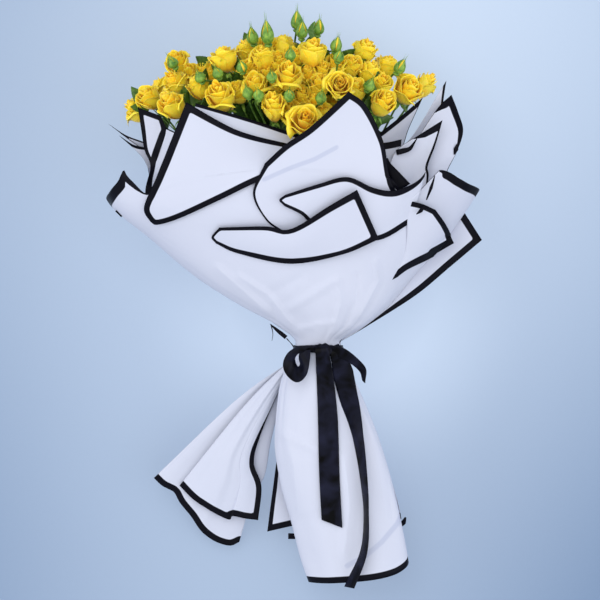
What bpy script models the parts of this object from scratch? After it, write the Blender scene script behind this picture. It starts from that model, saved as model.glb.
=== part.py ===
"""Spray rose bouquet, wrapped and tied, lying on its back.

Seven sprays of yellow roses are bound at the neck, rolled in sheets of white floral film
with a black border, and tied with a satin ribbon. The bouquet lies on a table: +Y runs from
the skirt to the flowers, +X to the right and +Z up, towards the eye. Lengths are in
millimetres until a mesh is made, and metres from there on.
"""
import math

import bmesh
import bpy
import numpy as np
from mathutils import Matrix, Vector
from mathutils.bvhtree import BVHTree

# Driving dimensions, in millimetres
FILM = 0.7                  # thickness of a film sheet
RIBBON_WIDTH = 24.5
RIBBON = 0.7                # thickness of the ribbon
GAP = 0.35                  # clear distance between pieces that touch
AXIS_Z = 108.0              # height of the bunch's axis above the table
NECK_Y = -56.0              # where the ribbon gathers everything
NECK_X = 28.5
NECK_HALF_WIDTH = 27.0
NECK_HALF_DEPTH = 26.0
HEAD = np.array([-12.0, 150.0, 108.0])      # centre of the flower head
HEAD_RADII = np.array([178.0, 175.0, 92.0])
STEM_RADIUS = 2.5
BRANCH_RADIUS = 1.2
STEM_PITCH = 6.4            # distance between stems in the binding
STEM_END_Y = -190.0
TIE_Z = 94.9                # the stems are bound low in the neck, on the back sheet
MM = 0.001

for old in list(bpy.data.objects):
    bpy.data.objects.remove(old, do_unlink=True)

bouquet = bpy.data.collections.new("spray_rose_bouquet")
bpy.context.scene.collection.children.link(bouquet)
pieces = bpy.data.collections.new("pieces_to_join")
bpy.context.scene.collection.children.link(pieces)


def finish(name, colour, roughness, metallic=0.0):
    """A Principled material with one colour."""
    material = bpy.data.materials.new(name)
    material.use_nodes = True
    shader = material.node_tree.nodes["Principled BSDF"]
    shader.inputs["Base Color"].default_value = (*colour, 1.0)
    shader.inputs["Roughness"].default_value = roughness
    shader.inputs["Metallic"].default_value = metallic
    return material


FILM_WHITE = finish("white_film", (0.90, 0.90, 0.95), 0.45)
SATIN_BLACK = finish("black_satin", (0.02, 0.02, 0.03), 0.3)
PETAL_YELLOW = finish("yellow_petal", (0.98, 0.72, 0.04), 0.55)
GREEN = finish("green_stem", (0.16, 0.36, 0.10), 0.5)
TIE_BEIGE = finish("binding_twine", (0.62, 0.50, 0.32), 0.8)


def mesh_object(name, vertices, faces, material, home=None, smooth=True):
    """An object from vertices in millimetres and faces."""
    mesh = bpy.data.meshes.new(name)
    mesh.from_pydata((np.asarray(vertices) * MM).tolist(), [], faces)
    mesh.update()
    if smooth:
        mesh.shade_smooth()
    mesh.materials.append(material)
    made = bpy.data.objects.new(name, mesh)
    (home or bouquet).objects.link(made)
    return made


def smooth_line(points, at):
    """A Catmull-Rom curve through points, read at parameters at from 0 to 1 of its length."""
    points = np.asarray(points, float)
    if len(points) == 2:
        return points[0] + np.outer(at, points[1] - points[0])
    ends = np.vstack([2 * points[0] - points[1], points, 2 * points[-1] - points[-2]])
    t = np.linspace(0, len(points) - 1, 40 * (len(points) - 1) + 1)
    k = np.minimum(t.astype(int), len(points) - 2)
    s = (t - k)[:, None]
    p0, p1, p2, p3 = ends[k], ends[k + 1], ends[k + 2], ends[k + 3]
    curve = 0.5 * (2 * p1 + (p2 - p0) * s + (2 * p0 - 5 * p1 + 4 * p2 - p3) * s**2
                   + (3 * p1 - p0 - 3 * p2 + p3) * s**3)
    length = np.concatenate([[0], np.cumsum(np.linalg.norm(np.diff(curve, axis=0), axis=1))])
    wanted = np.asarray(at) * length[-1]
    return np.stack([np.interp(wanted, length, curve[:, i]) for i in range(curve.shape[1])], 1)


def coons(bottom, top, left, right, us, vs):
    """The patch between four edges: left and right run upwards, the others to the right."""
    u = us[None, :, None]
    v = vs[:, None, None]
    low, high = smooth_line(bottom, us)[None], smooth_line(top, us)[None]
    west, east = smooth_line(left, vs)[:, None], smooth_line(right, vs)[:, None]
    corners = ((1 - u) * (1 - v) * low[:, :1] + u * (1 - v) * low[:, -1:]
               + (1 - u) * v * high[:, :1] + u * v * high[:, -1:])
    return (1 - v) * low + v * high + (1 - u) * west + u * east - corners


def grid_faces(grid):
    """The triangles between the points of a grid (rows, columns, 3)."""
    rows, columns = grid.shape[:2]
    faces = []
    for r in range(rows - 1):
        for c in range(columns - 1):
            a = r * columns + c
            b = a + columns
            faces += [(a, a + 1, b + 1), (a, b + 1, b)]
    return faces


def sheet(name, grid, material=FILM_WHITE, thickness=FILM):
    """A film sheet: a grid of points (rows, columns, 3) made solid on both sides."""
    made = mesh_object(name, grid.reshape(-1, 3), grid_faces(grid), material)
    wall = made.modifiers.new("wall", "SOLIDIFY")
    wall.thickness = thickness * MM
    wall.offset = 0.0
    return made


# The front sheet: a half cone above the neck and a half bell below it. At height y it spans
# from LEFT_SIDE to RIGHT_SIDE, its edges are at EDGE_Z and it bulges by BULGE above them.
SIDE_Y = [-345, -309, -265, -212, -166, -110, -82, -64, -48, -27, -3, 29, 79, 116, 140, 156, 260]
LEFT_SIDE = [20, 8, -3, -17, -23, -19, -12, 1.5, 1.5, -22, -65, -114, -173, -218, -233, -243, -243]
RIGHT_SIDE = [142, 137, 129, 117, 103, 80, 66, 55.5, 55.5, 86, 114, 140, 183, 209, 224, 232, 232]
EDGE_Z = [36, 44, 58, 72, 84, 97, 103, 108, 108, 108, 108, 108, 108, 108, 108, 108, 108]
BULGE = [40, 39, 36, 34, 32, 28, 26, 26, 26, 40, 57, 74, 94, 106, 111, 113, 114]
NECK_BAND = 7.0             # the neck keeps its section this far above and below NECK_Y
FRONT_AROUND = np.radians([0, 16, 34, 41, 58, 76, 94, 112, 130, 139, 160, 180])
# The back sheet: the same form turned down. It is pressed flat where it lies on the table.
BACK_Y = [-300, -262, -212, -160, -110, -82, -64, -48, -27, -3, 29, 79, 116, 150, 180, 215]
BACK_LEFT = [-26, -22, -16, -9, 2, 6, 9.5, 9.5, -12, -57, -108, -164, -185, -186, -180, -176]
BACK_RIGHT = [132, 129, 116, 96, 68, 55, 47.5, 47.5, 80, 108, 134, 172, 192, 198, 192, 186]
BACK_EDGE_Z = [14, 20, 36, 56, 74, 84, 92, 92, 97, 103, 105.8, 105.8, 105.8, 105.8, 105.8, 105.8]
BACK_BULGE = [20, 24, 24, 20, 14, 11, 9.4, 9.4, 26, 47, 74, 99, 113, 116, 116, 115]
BACK_AROUND = np.radians(np.linspace(0, 180, 11))


def front_section(y, around=FRONT_AROUND):
    """X and Z of the front sheet's section at height y, from left to right."""
    left, right = np.interp(y, SIDE_Y, LEFT_SIDE), np.interp(y, SIDE_Y, RIGHT_SIDE)
    x = (left + right) / 2 - (right - left) / 2 * np.cos(around)
    return x, np.interp(y, SIDE_Y, EDGE_Z) + np.interp(y, SIDE_Y, BULGE) * np.sin(around)


def back_section(y, around=BACK_AROUND):
    """X and Z of the back sheet's section at height y, from left to right."""
    left, right = np.interp(y, BACK_Y, BACK_LEFT), np.interp(y, BACK_Y, BACK_RIGHT)
    x = (left + right) / 2 - (right - left) / 2 * np.cos(around)
    z = np.interp(y, BACK_Y, BACK_EDGE_Z) - np.interp(y, BACK_Y, BACK_BULGE) * np.sin(around)
    return x, np.maximum(z, FILM / 2)


def neck_rows(hem_y, top_y, down, up):
    """Rows of a sheet from its hem, past the neck, to its top, at shares of each way."""
    below = [NECK_Y - NECK_BAND + (hem_y - NECK_Y + NECK_BAND) * share for share in down]
    above = [NECK_Y + NECK_BAND + (top_y - NECK_Y - NECK_BAND) * share for share in up]
    neck = [np.full_like(hem_y, NECK_Y - NECK_BAND), np.full_like(hem_y, NECK_Y + NECK_BAND)]
    return np.array(below + neck + above)


def front_grid():
    """The sheet that wraps the front, from its two rolled ears down to the skirt's front."""
    ear_angle = np.radians([0, 16, 34, 41, 60, 90, 120, 130, 139, 160, 180])
    top_y = np.interp(FRONT_AROUND, ear_angle, [122, 140, 154, 131, 146, 158, 148, 124, 156, 151, 136])
    hem_angle = np.radians([0, 45, 90, 135, 180])
    hem_y = np.interp(FRONT_AROUND, hem_angle, [-333, -338, -336, -328, -310])
    y = neck_rows(hem_y, top_y, [1.0, 0.78, 0.56, 0.34, 0.14], [0.12, 0.25, 0.40, 0.55, 0.70, 0.85, 1.0])
    x, z = front_section(y)
    return np.stack([x, y, z], 2)


def back_grid():
    """The sheet that the bouquet lies on, from behind the flowers to the skirt's back."""
    top_y = 186 + 10 * np.cos(2 * BACK_AROUND)
    hem_y = -262 - 26 * np.sin(BACK_AROUND)
    y = neck_rows(hem_y, top_y, [1.0, 0.80, 0.60, 0.40, 0.18], [0.12, 0.26, 0.42, 0.58, 0.78, 1.0])
    x, z = back_section(y)
    return np.stack([x, y, z], 2)


def height_at(form, x, y):
    """Height of a sheet's triangles over points of the plan, or past its edge of its section."""
    section, tree = form
    x, y = np.broadcast_arrays(np.asarray(x, float), np.asarray(y, float))
    heights = []
    for a, b in zip(x.ravel(), y.ravel()):
        hit = tree.ray_cast((a, b, 400.0), (0, 0, -1))[0]
        heights.append(hit.z if hit else np.interp(a, *section(b)))
    return np.reshape(heights, x.shape)


def lifted(form, x, y, lift):
    """Points over a sheet, lifted from it: the first 2 mm square to it, the rest upwards."""
    x, y, lift = np.broadcast_arrays(x, y, lift)
    slope_x = (height_at(form, x + 1, y) - height_at(form, x - 1, y)) / 2
    slope_y = (height_at(form, x, y + 1) - height_at(form, x, y - 1)) / 2
    square = np.clip(lift, -2.0, 2.0) / np.sqrt(1 + slope_x**2 + slope_y**2)
    rest = lift - np.clip(lift, -2.0, 2.0)
    return np.stack([x - square * slope_x, y - square * slope_y, height_at(form, x, y) + square + rest], -1)


FRONT_GRID, BACK_GRID = front_grid(), back_grid()
FRONT = (front_section, BVHTree.FromPolygons(FRONT_GRID.reshape(-1, 3).tolist(), grid_faces(FRONT_GRID)))
BACK = (back_section, BVHTree.FromPolygons(BACK_GRID.reshape(-1, 3).tolist(), grid_faces(BACK_GRID)))


def laid_flap(name, bottom, top, left, right, lift, crown=0.0, columns=7, rows=6):
    """A flap whose outline lies over the front sheet, lifted from it by lift at its corners.

    lift holds the four heights above the front sheet: bottom left, bottom right, top left,
    top right. The upper two take hold mostly near the top. crown raises the middle.
    """
    us, vs = np.linspace(0, 1, columns), np.linspace(0, 1, rows)
    plan = coons(bottom, top, left, right, us, vs)
    u, v = us[None, :], vs[:, None]
    low, high = (1 - u) * lift[0] + u * lift[1], (1 - u) * lift[2] + u * lift[3]
    raised = low + (high - low) * v**2
    raised = raised + crown * np.sin(np.pi * u) * np.sin(np.pi * v)
    return sheet(name, lifted(FRONT, plan[..., 0], plan[..., 1], raised))


def free_flap(name, bottom, top, left, right, crown=0.0, columns=7, rows=6, tuck=None):
    """A flap whose four edges are curves in space.

    crown raises the middle. tuck is the share of the flap's length below its narrow top that
    runs straight into the neck.
    """
    us = np.linspace(0, 1, columns)
    vs = np.linspace(0, 1, rows) if tuck is None else np.append(np.linspace(0, 1 - tuck, rows), 1)
    grid = coons(bottom, top, left, right, us, vs)
    grid[..., 2] += crown * np.sin(np.pi * us)[None, :] * np.sin(np.pi * vs)[:, None]
    return sheet(name, grid)


def rooted(form, plan, lift, columns=7):
    """A line of the plan put beside a sheet, as the root of a flap."""
    plan = smooth_line(plan, np.linspace(0, 1, columns))
    return lifted(form, plan[:, 0], plan[:, 1], lift)


def front_flaps():
    """The corners of film that are folded over the front, from the lowest to the topmost."""
    laid_flap("wrap_front_liner",
              bottom=[(-120, 128), (-60, 132), (10, 138)],
              top=[(-118, 237), (-53, 218), (3, 200), (24, 195)],
              left=[(-120, 128), (-124, 180), (-118, 237)],
              right=[(10, 138), (24, 195)],
              lift=(-1.5, -3, -7, -38), crown=1.5)
    laid_flap("wrap_front_left_flap",
              bottom=[(-171, 98), (-163, 94), (-137, 101), (-89, 122), (-47, 142), (0, 162)],
              top=[(-128, 238), (-69, 205), (-5, 188), (10, 186)],
              left=[(-171, 98), (-178, 109), (-176, 122), (-161, 155), (-128, 238)],
              right=[(0, 162), (10, 186)],
              lift=(5.5, 4.0, 7, -20), columns=13)
    laid_flap("wrap_front_centre_flap",
              bottom=[(-15, 84), (40, 82), (90, 98), (128, 122)],
              top=[(-35, 165), (-11, 187), (20, 209), (64, 250)],
              left=[(-15, 84), (-34, 99), (-49, 130), (-35, 165)],
              right=[(128, 122), (113, 148), (105, 191), (85, 233), (64, 250)],
              lift=(1.5, 3.0, 9, 24), columns=8, rows=8)
    laid_flap("wrap_front_fold",
              bottom=[(-12, 115), (8, 105), (20, 94), (50, 78), (99, 75), (137, 95)],
              top=[(-11, 128), (26, 140), (62, 149), (92, 137), (115, 133), (155, 155)],
              left=[(-12, 115), (-18, 122), (-11, 128)],
              right=[(137, 95), (147, 125), (155, 155)],
              lift=(9, 1.5, 12, 14), crown=3, columns=9, rows=5)
    laid_flap("wrap_front_low_flap",
              bottom=[(-93, 71), (-65, 59), (-4, 47), (57, 58), (100, 76)],
              top=[(-89, 90), (-34, 91), (-4, 88), (41, 115), (74, 134)],
              left=[(-93, 71), (-98, 79), (-89, 90)],
              right=[(100, 76), (74, 134)],
              lift=(1.3, 11, 5, 22), crown=5, columns=10, rows=6)


def right_flaps():
    """The corners of film that fan out on the right, from the front to the back."""
    laid_flap("wrap_right_flap",
              bottom=[(114, 25), (133, 40), (159, 53), (191, 71)],
              top=[(133, 122), (151, 118), (167, 111)],
              left=[(114, 25), (132, 62), (133, 122)],
              right=[(191, 71), (180, 93), (167, 111)],
              lift=(1.3, 14, 13, 15))
    edge = AXIS_Z - 1.1
    free_flap("wrap_right_outer_flap",
              bottom=[(59, -50, edge), (91, -27, edge), (146, 9, edge), (187, 43, edge), (225, 75, edge)],
              top=[(76, -14, edge), (130, 50, edge), (172, 98, edge), (202, 111, edge)],
              left=[(59, -50, edge), (76, -14, edge)],
              right=[(225, 75, edge), (202, 111, edge)], rows=4, columns=8)
    pocket = rooted(FRONT, [(139, 108), (147, 106), (155, 106)], -1.5)
    free_flap("wrap_right_pocket",
              bottom=pocket,
              top=[(113, 164, 165), (123, 183, 160), (147, 199, 154), (177, 218, 148)],
              left=[pocket[0], (120, 145, 170), (113, 164, 165)],
              right=[pocket[-1], (160, 150, 164), (159, 163, 160), (169, 190, 152), (177, 218, 148)],
              crown=-6)
    tall = rooted(FRONT, [(163, 112), (178, 108), (192, 106)], -1.4)
    free_flap("wrap_right_tall_flap",
              bottom=tall,
              top=[(140, 185, 141), (170, 231, 130), (188, 249, 124)],
              left=[tall[0], (152, 150, 152), (140, 185, 141)],
              right=[tall[-1], (194, 160, 132), (200, 206, 126), (188, 249, 124)])
    inner = rooted(FRONT, [(90, 112), (108, 112), (124, 112)], -1.35)
    free_flap("wrap_right_inner_flap",
              bottom=inner,
              top=[(101, 202, 136), (126, 222, 125), (154, 246, 116)],
              left=[inner[0], (94, 160, 158), (101, 202, 136)],
              right=[inner[-1], (145, 160, 136), (152, 205, 119), (154, 246, 116)],
              columns=5)
    spike = rooted(BACK, [(150, 100), (162, 100), (172, 100)], 1.5)
    free_flap("wrap_right_spike",
              bottom=spike,
              top=[(127, 195, 103), (135, 212, 100), (149, 235, 98), (182, 266, 98)],
              left=[spike[0], (136, 150, 80), (127, 195, 103)],
              right=[spike[-1], (180, 170, 98), (179, 245, 99), (182, 266, 98)])


def left_flaps():
    """The corners of film that fan out on the left."""
    inner = rooted(FRONT, [(-172, 106), (-158, 106), (-145, 106)], -1.4)
    free_flap("wrap_left_inner_flap",
              bottom=inner,
              top=[(-187, 233, 150), (-160, 225, 158), (-155, 212, 161)],
              left=[inner[0], (-178, 150, 156), (-183, 195, 152), (-187, 233, 150)],
              right=[inner[-1], (-161, 175, 168), (-155, 212, 161)],
              columns=5)
    corner = rooted(BACK, [(-168, 104), (-160, 104), (-148, 104)], 1.5)
    free_flap("wrap_left_corner",
              bottom=corner,
              top=[(-223, 214, 118), (-188, 194, 116), (-172, 188, 112)],
              left=[corner[0], (-176, 150, 98), (-184, 178, 112), (-223, 214, 118)],
              right=[corner[-1], (-164, 150, 90), (-172, 188, 112)],
              columns=5)


def skirt_fans():
    """The folds of film that fan out below the neck, on the left."""
    free_flap("skirt_left_lower_fold",
              bottom=[(-170, -213, 40), (-146, -226, 30), (-115, -268, 22), (-67, -287, 16)],
              top=[(4.4, -50, 98), (5.4, -50, 96.5), (6.9, -50, 95)],
              left=[(-170, -213, 40), (-71, -118, 76), (-10, -74, 93), (3.9, -63, 97), (4.4, -50, 98)],
              right=[(-67, -287, 16), (-30, -160, 60), (-2, -80, 88), (6.6, -63, 94.6), (6.9, -50, 95)],
              tuck=0.055, rows=5)
    free_flap("skirt_left_upper_fold",
              bottom=[(-136, -218, 52), (-103, -244, 46), (-77, -261, 40), (-44, -262, 38)],
              top=[(2.5, -50, 103), (2.8, -50, 101.8), (3.2, -50, 100.6)],
              left=[(-136, -218, 52), (-60, -126, 80), (-10, -74, 98.5), (2.1, -63, 102.6), (2.5, -50, 103)],
              right=[(-44, -262, 38), (-49, -200, 56), (-24, -118, 82), (2.8, -63, 100.4), (3.2, -50, 100.6)],
              tuck=0.055, rows=6)
    neck = rooted(BACK, [(22, -69), (27, -69), (32, -69)], 1.2)
    free_flap("skirt_middle_fold",
              bottom=[(-33, -277, 32), (-3, -269, 36), (30, -276, 40)],
              top=neck,
              left=[(-33, -277, 32), (-27, -231, 44), (-17, -166, 68), (2, -108, 84), neck[0]],
              right=[(30, -276, 40), (20, -170, 58), (29, -104, 74), neck[-1]],
              rows=7)


# Ribbon
BAND_INNER = (NECK_HALF_WIDTH + 1.0, NECK_HALF_DEPTH + 1.0)
BAND_WALL = 2.2
BAND_HALF_HEIGHT = 4.5
BAND_FRONT_Z = AXIS_Z + BAND_INNER[1] + BAND_WALL
KNOT = (35.0, -57.0)        # the knot's place in the plan
KNOT_HALF = (11.0, 8.0, 4.5)


def ribbon_band():
    """The ribbon drawn tight round the neck: a flat ring swept round an ellipse."""
    turns = np.linspace(0, 2 * math.pi, 29)[:-1]
    section = [(0, -1), (1, -0.8), (1, 0.8), (0, 1)]
    vertices, faces = [], []
    for out, along in section:
        a, b = BAND_INNER[0] + out * BAND_WALL, BAND_INNER[1] + out * BAND_WALL
        y = np.full_like(turns, NECK_Y + along * BAND_HALF_HEIGHT)
        ring = np.stack([NECK_X + a * np.cos(turns), y, AXIS_Z + b * np.sin(turns)], 1)
        vertices.append(ring)
    count = len(turns)
    for s in range(len(section)):
        t = (s + 1) % len(section)
        for i in range(count):
            j = (i + 1) % count
            faces.append((s * count + i, t * count + i, t * count + j, s * count + j))
    band = mesh_object("ribbon_band", np.vstack(vertices), faces, SATIN_BLACK, smooth=False)
    bpy.ops.mesh.primitive_ico_sphere_add(subdivisions=2, radius=MM)
    knot = bpy.context.object
    knot.name = "knot"
    knot.scale = KNOT_HALF
    knot.location = (KNOT[0] * MM, KNOT[1] * MM, (BAND_FRONT_Z + 0.6 * KNOT_HALF[2]) * MM)
    bpy.ops.object.transform_apply(location=True, rotation=False, scale=True)
    join_all(band, [knot])
    return band


def join_all(body, others):
    """One union of body with the others, applied; the others are removed."""
    group = bpy.data.collections.new("joined_to_" + body.name)
    bpy.context.scene.collection.children.link(group)
    for other in others:
        for collection in other.users_collection:
            collection.objects.unlink(other)
        group.objects.link(other)
    union = body.modifiers.new("joined", "BOOLEAN")
    union.operation = "UNION"
    union.operand_type = "COLLECTION"
    union.collection = group
    union.solver = "MANIFOLD"
    bpy.context.view_layer.update()
    joined = bpy.data.meshes.new_from_object(body.evaluated_get(bpy.context.evaluated_depsgraph_get()))
    body.modifiers.clear()
    body.data = joined
    for other in others:
        bpy.data.objects.remove(other, do_unlink=True)
    bpy.data.collections.remove(group)


def ribbon_strip(name, path, across, width, steps=12):
    """A length of ribbon along path. across gives its width direction at the path's points,
    and width is one width, or several that are shared out along it."""
    at = np.linspace(0, 1, steps)
    middle = smooth_line(path, at)
    side = smooth_line(across, at)
    wide = np.interp(at, np.linspace(0, 1, np.size(width)), np.ravel(width))
    side = side / np.linalg.norm(side, axis=1, keepdims=True) * wide[:, None] / 2
    return sheet(name, np.stack([middle - side, middle + side], 1), SATIN_BLACK, RIBBON)


def on_skirt(points, lift):
    """Points of the plan, laid on the front of the skirt and lifted by lift."""
    return [(x, y, height_at(FRONT, x, y) + rise) for (x, y), rise in zip(points, lift)]


def ribbon():
    """The band with its knot, two loops and two tails, which lie on the front of the skirt."""
    ribbon_band()
    start = KNOT[1] - KNOT_HALF[1] - 0.6
    ribbon_strip("ribbon_long_tail",
                 path=on_skirt([(33, start), (37, -90), (40, -140), (42, -210), (45, -270)],
                               [7, 3.8, 3.0, 2.8, 3.0]),
                 across=[(1, 0, 0.1), (1, 0, 0.05), (1, 0, 0), (1, 0, 0), (1, 0.18, 0)],
                 width=[19] + 6 * [RIBBON_WIDTH])
    ribbon_strip("ribbon_slim_tail",
                 path=on_skirt([(52, -66), (62, -110), (74, -150), (82, -200), (86, -250), (83, -300),
                                (66, -343)], [10.4, 9.4, 9, 9.4, 9.4, 9.4, 7.6]),
                 across=[(1, 0.3, 0.0), (1, 0.4, 0.4), (1, 0.2, 1.1), (0.8, 0, 1.4), (0.7, 0, 1.6),
                         (0.6, 0, 1.6), (0.8, -0.6, 1.0)],
                 width=16, steps=15)
    ribbon_strip("ribbon_left_loop",
                 path=[(22.4, -57, 142.0), (8, -58, 144), (-8, -68, 142), (-13, -82, 138), (-3, -97, 136),
                       (10, -88, 138), (20, -70, 141)],
                 across=[(0.2, 0.6, 1), (0.2, 0.6, 1), (0.5, 0.1, 1), (0.6, -0.1, 1), (0.3, -0.7, 1),
                         (-0.4, -0.3, 1), (-0.5, 0.2, 1)],
                 width=18, steps=14)
    ribbon_strip("ribbon_right_loop",
                 path=[(46.4, -57, 140.5), (62, -58, 143), (75, -68, 136), (87, -83, 130), (83, -96, 127)],
                 across=[(0.1, 1, 0.6), (0.2, 0.9, 0.7), (0.4, 0.6, 1), (0.6, 0.5, 1), (0.8, 0.2, 1)],
                 width=12, steps=10)


# Flowers: place in the plan, width, length, tilt towards the eye, height above the head
BLOOMS = [
    (-190, 229, 24, 28, 0.0, 0), (-175, 241, 26, 28, 0.5, 0), (-158, 254, 26, 28, 0.0, -22),
    (-145, 234, 27, 33, 0.3, 6), (-144, 264, 25, 27, 0.3, 0), (-114, 256, 24, 27, 0.0, -8),
    (-87, 244, 31, 35, 0.4, 0), (-82, 290, 28, 26, 0.0, 0), (-57, 300, 22, 26, 0.0, -8),
    (-38, 290, 26, 28, 0.2, 0), (-36, 262, 28, 28, 0.4, 0), (-23, 239, 24, 37, 0.3, 4),
    (-12, 308, 26, 28, 0.0, -6), (18, 293, 32, 30, 0.2, 0), (-4, 268, 29, 35, 0.4, 2),
    (22, 266, 24, 30, 0.4, 0), (50, 261, 36, 30, 3.0, 6), (16, 221, 34, 32, 1.0, 12),
    (74, 253, 26, 28, 0.4, -12), (86, 301, 26, 26, 0.2, 0), (108, 283, 26, 31, 0.2, 0),
    (88, 273, 24, 28, 0.2, -20), (101, 239, 27, 33, 0.6, 2), (135, 255, 31, 33, 0.9, 0),
    (153, 259, 22, 32, 0.0, -18),
]
BLOOM_SCALE = 1.2           # an open bloom is a fifth wider than the part of it that shows
# Blooms packed until they touch, deeper in the head and at its far side: name, tilt, places
PACKED = [
    ("inner_blooms_left", 0.5, [(-122, 262, 102), (-98, 270, 108), (-74, 270, 114)]),
    ("inner_blooms_right", 0.5, [(41, 236, 111), (62, 242, 102), (81, 248, 90)]),
    ("far_blooms_left", -0.3, [(-112, 232, 46), (-86, 238, 40)]),
    ("far_blooms_right", -0.3, [(62, 236, 38), (36, 240, 33)]),
]
PACKED_SIZE = (34.0, 32.0)
PACKED_REACH = 15.5         # radius kept free round a packed bloom
# Buds: place in the plan and length
BUDS = [
    (-146, 283, 16), (-113, 269, 15), (-92, 274, 15), (-63, 281, 15), (-54, 250, 16), (-43, 247, 15),
    (-49, 317, 22), (-35, 317, 32), (3, 338, 24), (10, 320, 22), (29, 330, 20), (49, 308, 20),
    (53, 294, 15), (-5, 289, 15), (-26, 269, 13), (-8, 246, 15), (31, 242, 16), (90, 259, 17),
    (127, 283, 20),
]
# Where each stem forks, inside the head: the seven sprays share out the flowers between them
FORKS = [(-100, 165, 138), (-20, 172, 158), (72, 170, 142), (-78, 168, 74), (8, 160, 58),
         (86, 172, 76), (-14, 216, 108)]
TIE_ANGLES = [150, 90, 30, 210, 270, 330, 0]        # each stem's place in the binding, in degrees
BRANCH_PITCH = 6.0          # distance between branches along a stem
FOCUS = np.array([-5.0, 60.0, 105.0])       # the flowers look away from this point
CALYX_DEPTH = 7.0
RIM_SIDES = 10


def head_height(x, y, rise):
    """Height of the head's near surface over (x, y): an ellipsoid, with rise along Z."""
    inside = 1 - ((x - HEAD[0]) / HEAD_RADII[0])**2 - ((y - HEAD[1]) / HEAD_RADII[1])**2
    return HEAD[2] + HEAD_RADII[2] * math.sqrt(max(inside, 0.0)) + rise


def settle(centres, radii, group, rounds=500):
    """Pushes the flowers apart, mostly along Z, until none touches another.

    Flowers of one group keep their places to each other.
    """
    moved = centres.copy()
    give = np.array([0.25, 0.25, 1.0])
    same = (group[:, None] == group[None]).astype(float)
    share = same / same.sum(1, keepdims=True)
    for _ in range(rounds):
        apart = moved[:, None] - moved[None]
        distance = np.linalg.norm(apart, axis=2) + same * 1e6
        overlap = np.maximum(radii[:, None] + radii[None] - distance, 0.0)
        push = (apart / distance[..., None] * overlap[..., None]).sum(1) * 0.3
        moved = moved + share @ push * give
    return moved


def facing(centre, tilt):
    """The way a flower looks: away from the focus, and tilted towards the eye."""
    way = centre - FOCUS
    way = way / np.linalg.norm(way) + np.array([0.0, 0.0, tilt])
    return way / np.linalg.norm(way)


def turned(points, base, way, turn=0.0):
    """Points about +Z put at base and turned so that +Z points along way."""
    side = np.cross(way, [0.31, 0.17, 0.93])
    side = side / np.linalg.norm(side)
    other = np.cross(way, side)
    x = points[:, 0] * math.cos(turn) - points[:, 1] * math.sin(turn)
    y = points[:, 0] * math.sin(turn) + points[:, 1] * math.cos(turn)
    return base + np.outer(x, side) + np.outer(y, other) + np.outer(points[:, 2], way)


def ringed(profile, sides):
    """A closed body from rings of points, with a pole at each end. profile holds, from the
    lower pole to the upper one, functions of the angle that give radius and height."""
    angles = np.linspace(0, 2 * math.pi, sides + 1)[:-1]
    vertices = [np.array([[0.0, 0.0, profile[0]]])]
    for ring in profile[1:-1]:
        radius, height = ring(angles)
        vertices.append(np.stack([radius * np.cos(angles), radius * np.sin(angles),
                                  np.broadcast_to(height, radius.shape)], 1))
    vertices.append(np.array([[0.0, 0.0, profile[-1]]]))
    faces = [(0, 1 + (i + 1) % sides, 1 + i) for i in range(sides)]
    for r in range(len(profile) - 3):
        for i in range(sides):
            a, b = 1 + r * sides + i, 1 + r * sides + (i + 1) % sides
            faces += [(a, b, b + sides), (a, b + sides, a + sides)]
    last = 1 + (len(profile) - 2) * sides
    faces += [(last, last - sides + i, last - sides + (i + 1) % sides) for i in range(sides)]
    return np.vstack(vertices), faces


def bloom_form(width, length, phase):
    """A rose: an outer cup of five petals, an inner cup of three and a rolled heart.

    Every petal's rim is a lobe of its cup: between two petals the cup is notched.
    """
    r, h = width / 2, length

    def cup(radius, height, petals, lobe, shift, notch):
        def ring(angle):
            wave = np.abs(np.cos(petals * (angle + shift) / 2))
            return r * radius * (1 + lobe * (wave - 0.6)), h * (height - notch * (1 - wave)**2)
        return ring

    profile = [
        0.0,
        cup(0.74, 0.20, 5, 0.08, 0.0, 0.0),
        cup(0.97, 0.76, 5, 0.14, 0.0, 0.22),
        cup(0.88, 0.78, 5, 0.14, 0.0, 0.22),
        cup(0.62, 0.46, 5, 0.04, 0.0, 0.04),
        cup(0.66, 0.90, 3, 0.10, phase + 0.5, 0.22),
        cup(0.56, 0.91, 3, 0.10, phase + 0.5, 0.22),
        cup(0.34, 0.68, 3, 0.0, phase, 0.0),
        cup(0.22, 0.98, 3, 0.10, phase + 1.4, 0.08),
        0.90 * h,
    ]
    return ringed(profile, RIM_SIDES)


def calyx_form(reach):
    """The green cup under a bloom, with five sepals spread like a star as far as reach."""
    def ring(radius, point, height, drop):
        def made(angle):
            star = np.cos(5 * angle / 2)**8
            return radius + point * star, height - drop * star
        return made
    profile = [-CALYX_DEPTH, ring(3.0, 0.0, -5.0, 0.0), ring(3.6, reach - 3.6, -1.2, 1.6), -GAP]
    return ringed(profile, 10)


def bud_form(length):
    """A pointed bud, ribbed by its five closed sepals."""
    r = 0.28 * length + 1.2

    def ring(radius, height):
        def made(angle):
            return r * radius * (1 + 0.12 * np.cos(5 * angle)), length * height
        return made
    return ringed([0.0, ring(0.9, 0.24), ring(0.75, 0.62), length], 10)


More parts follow.
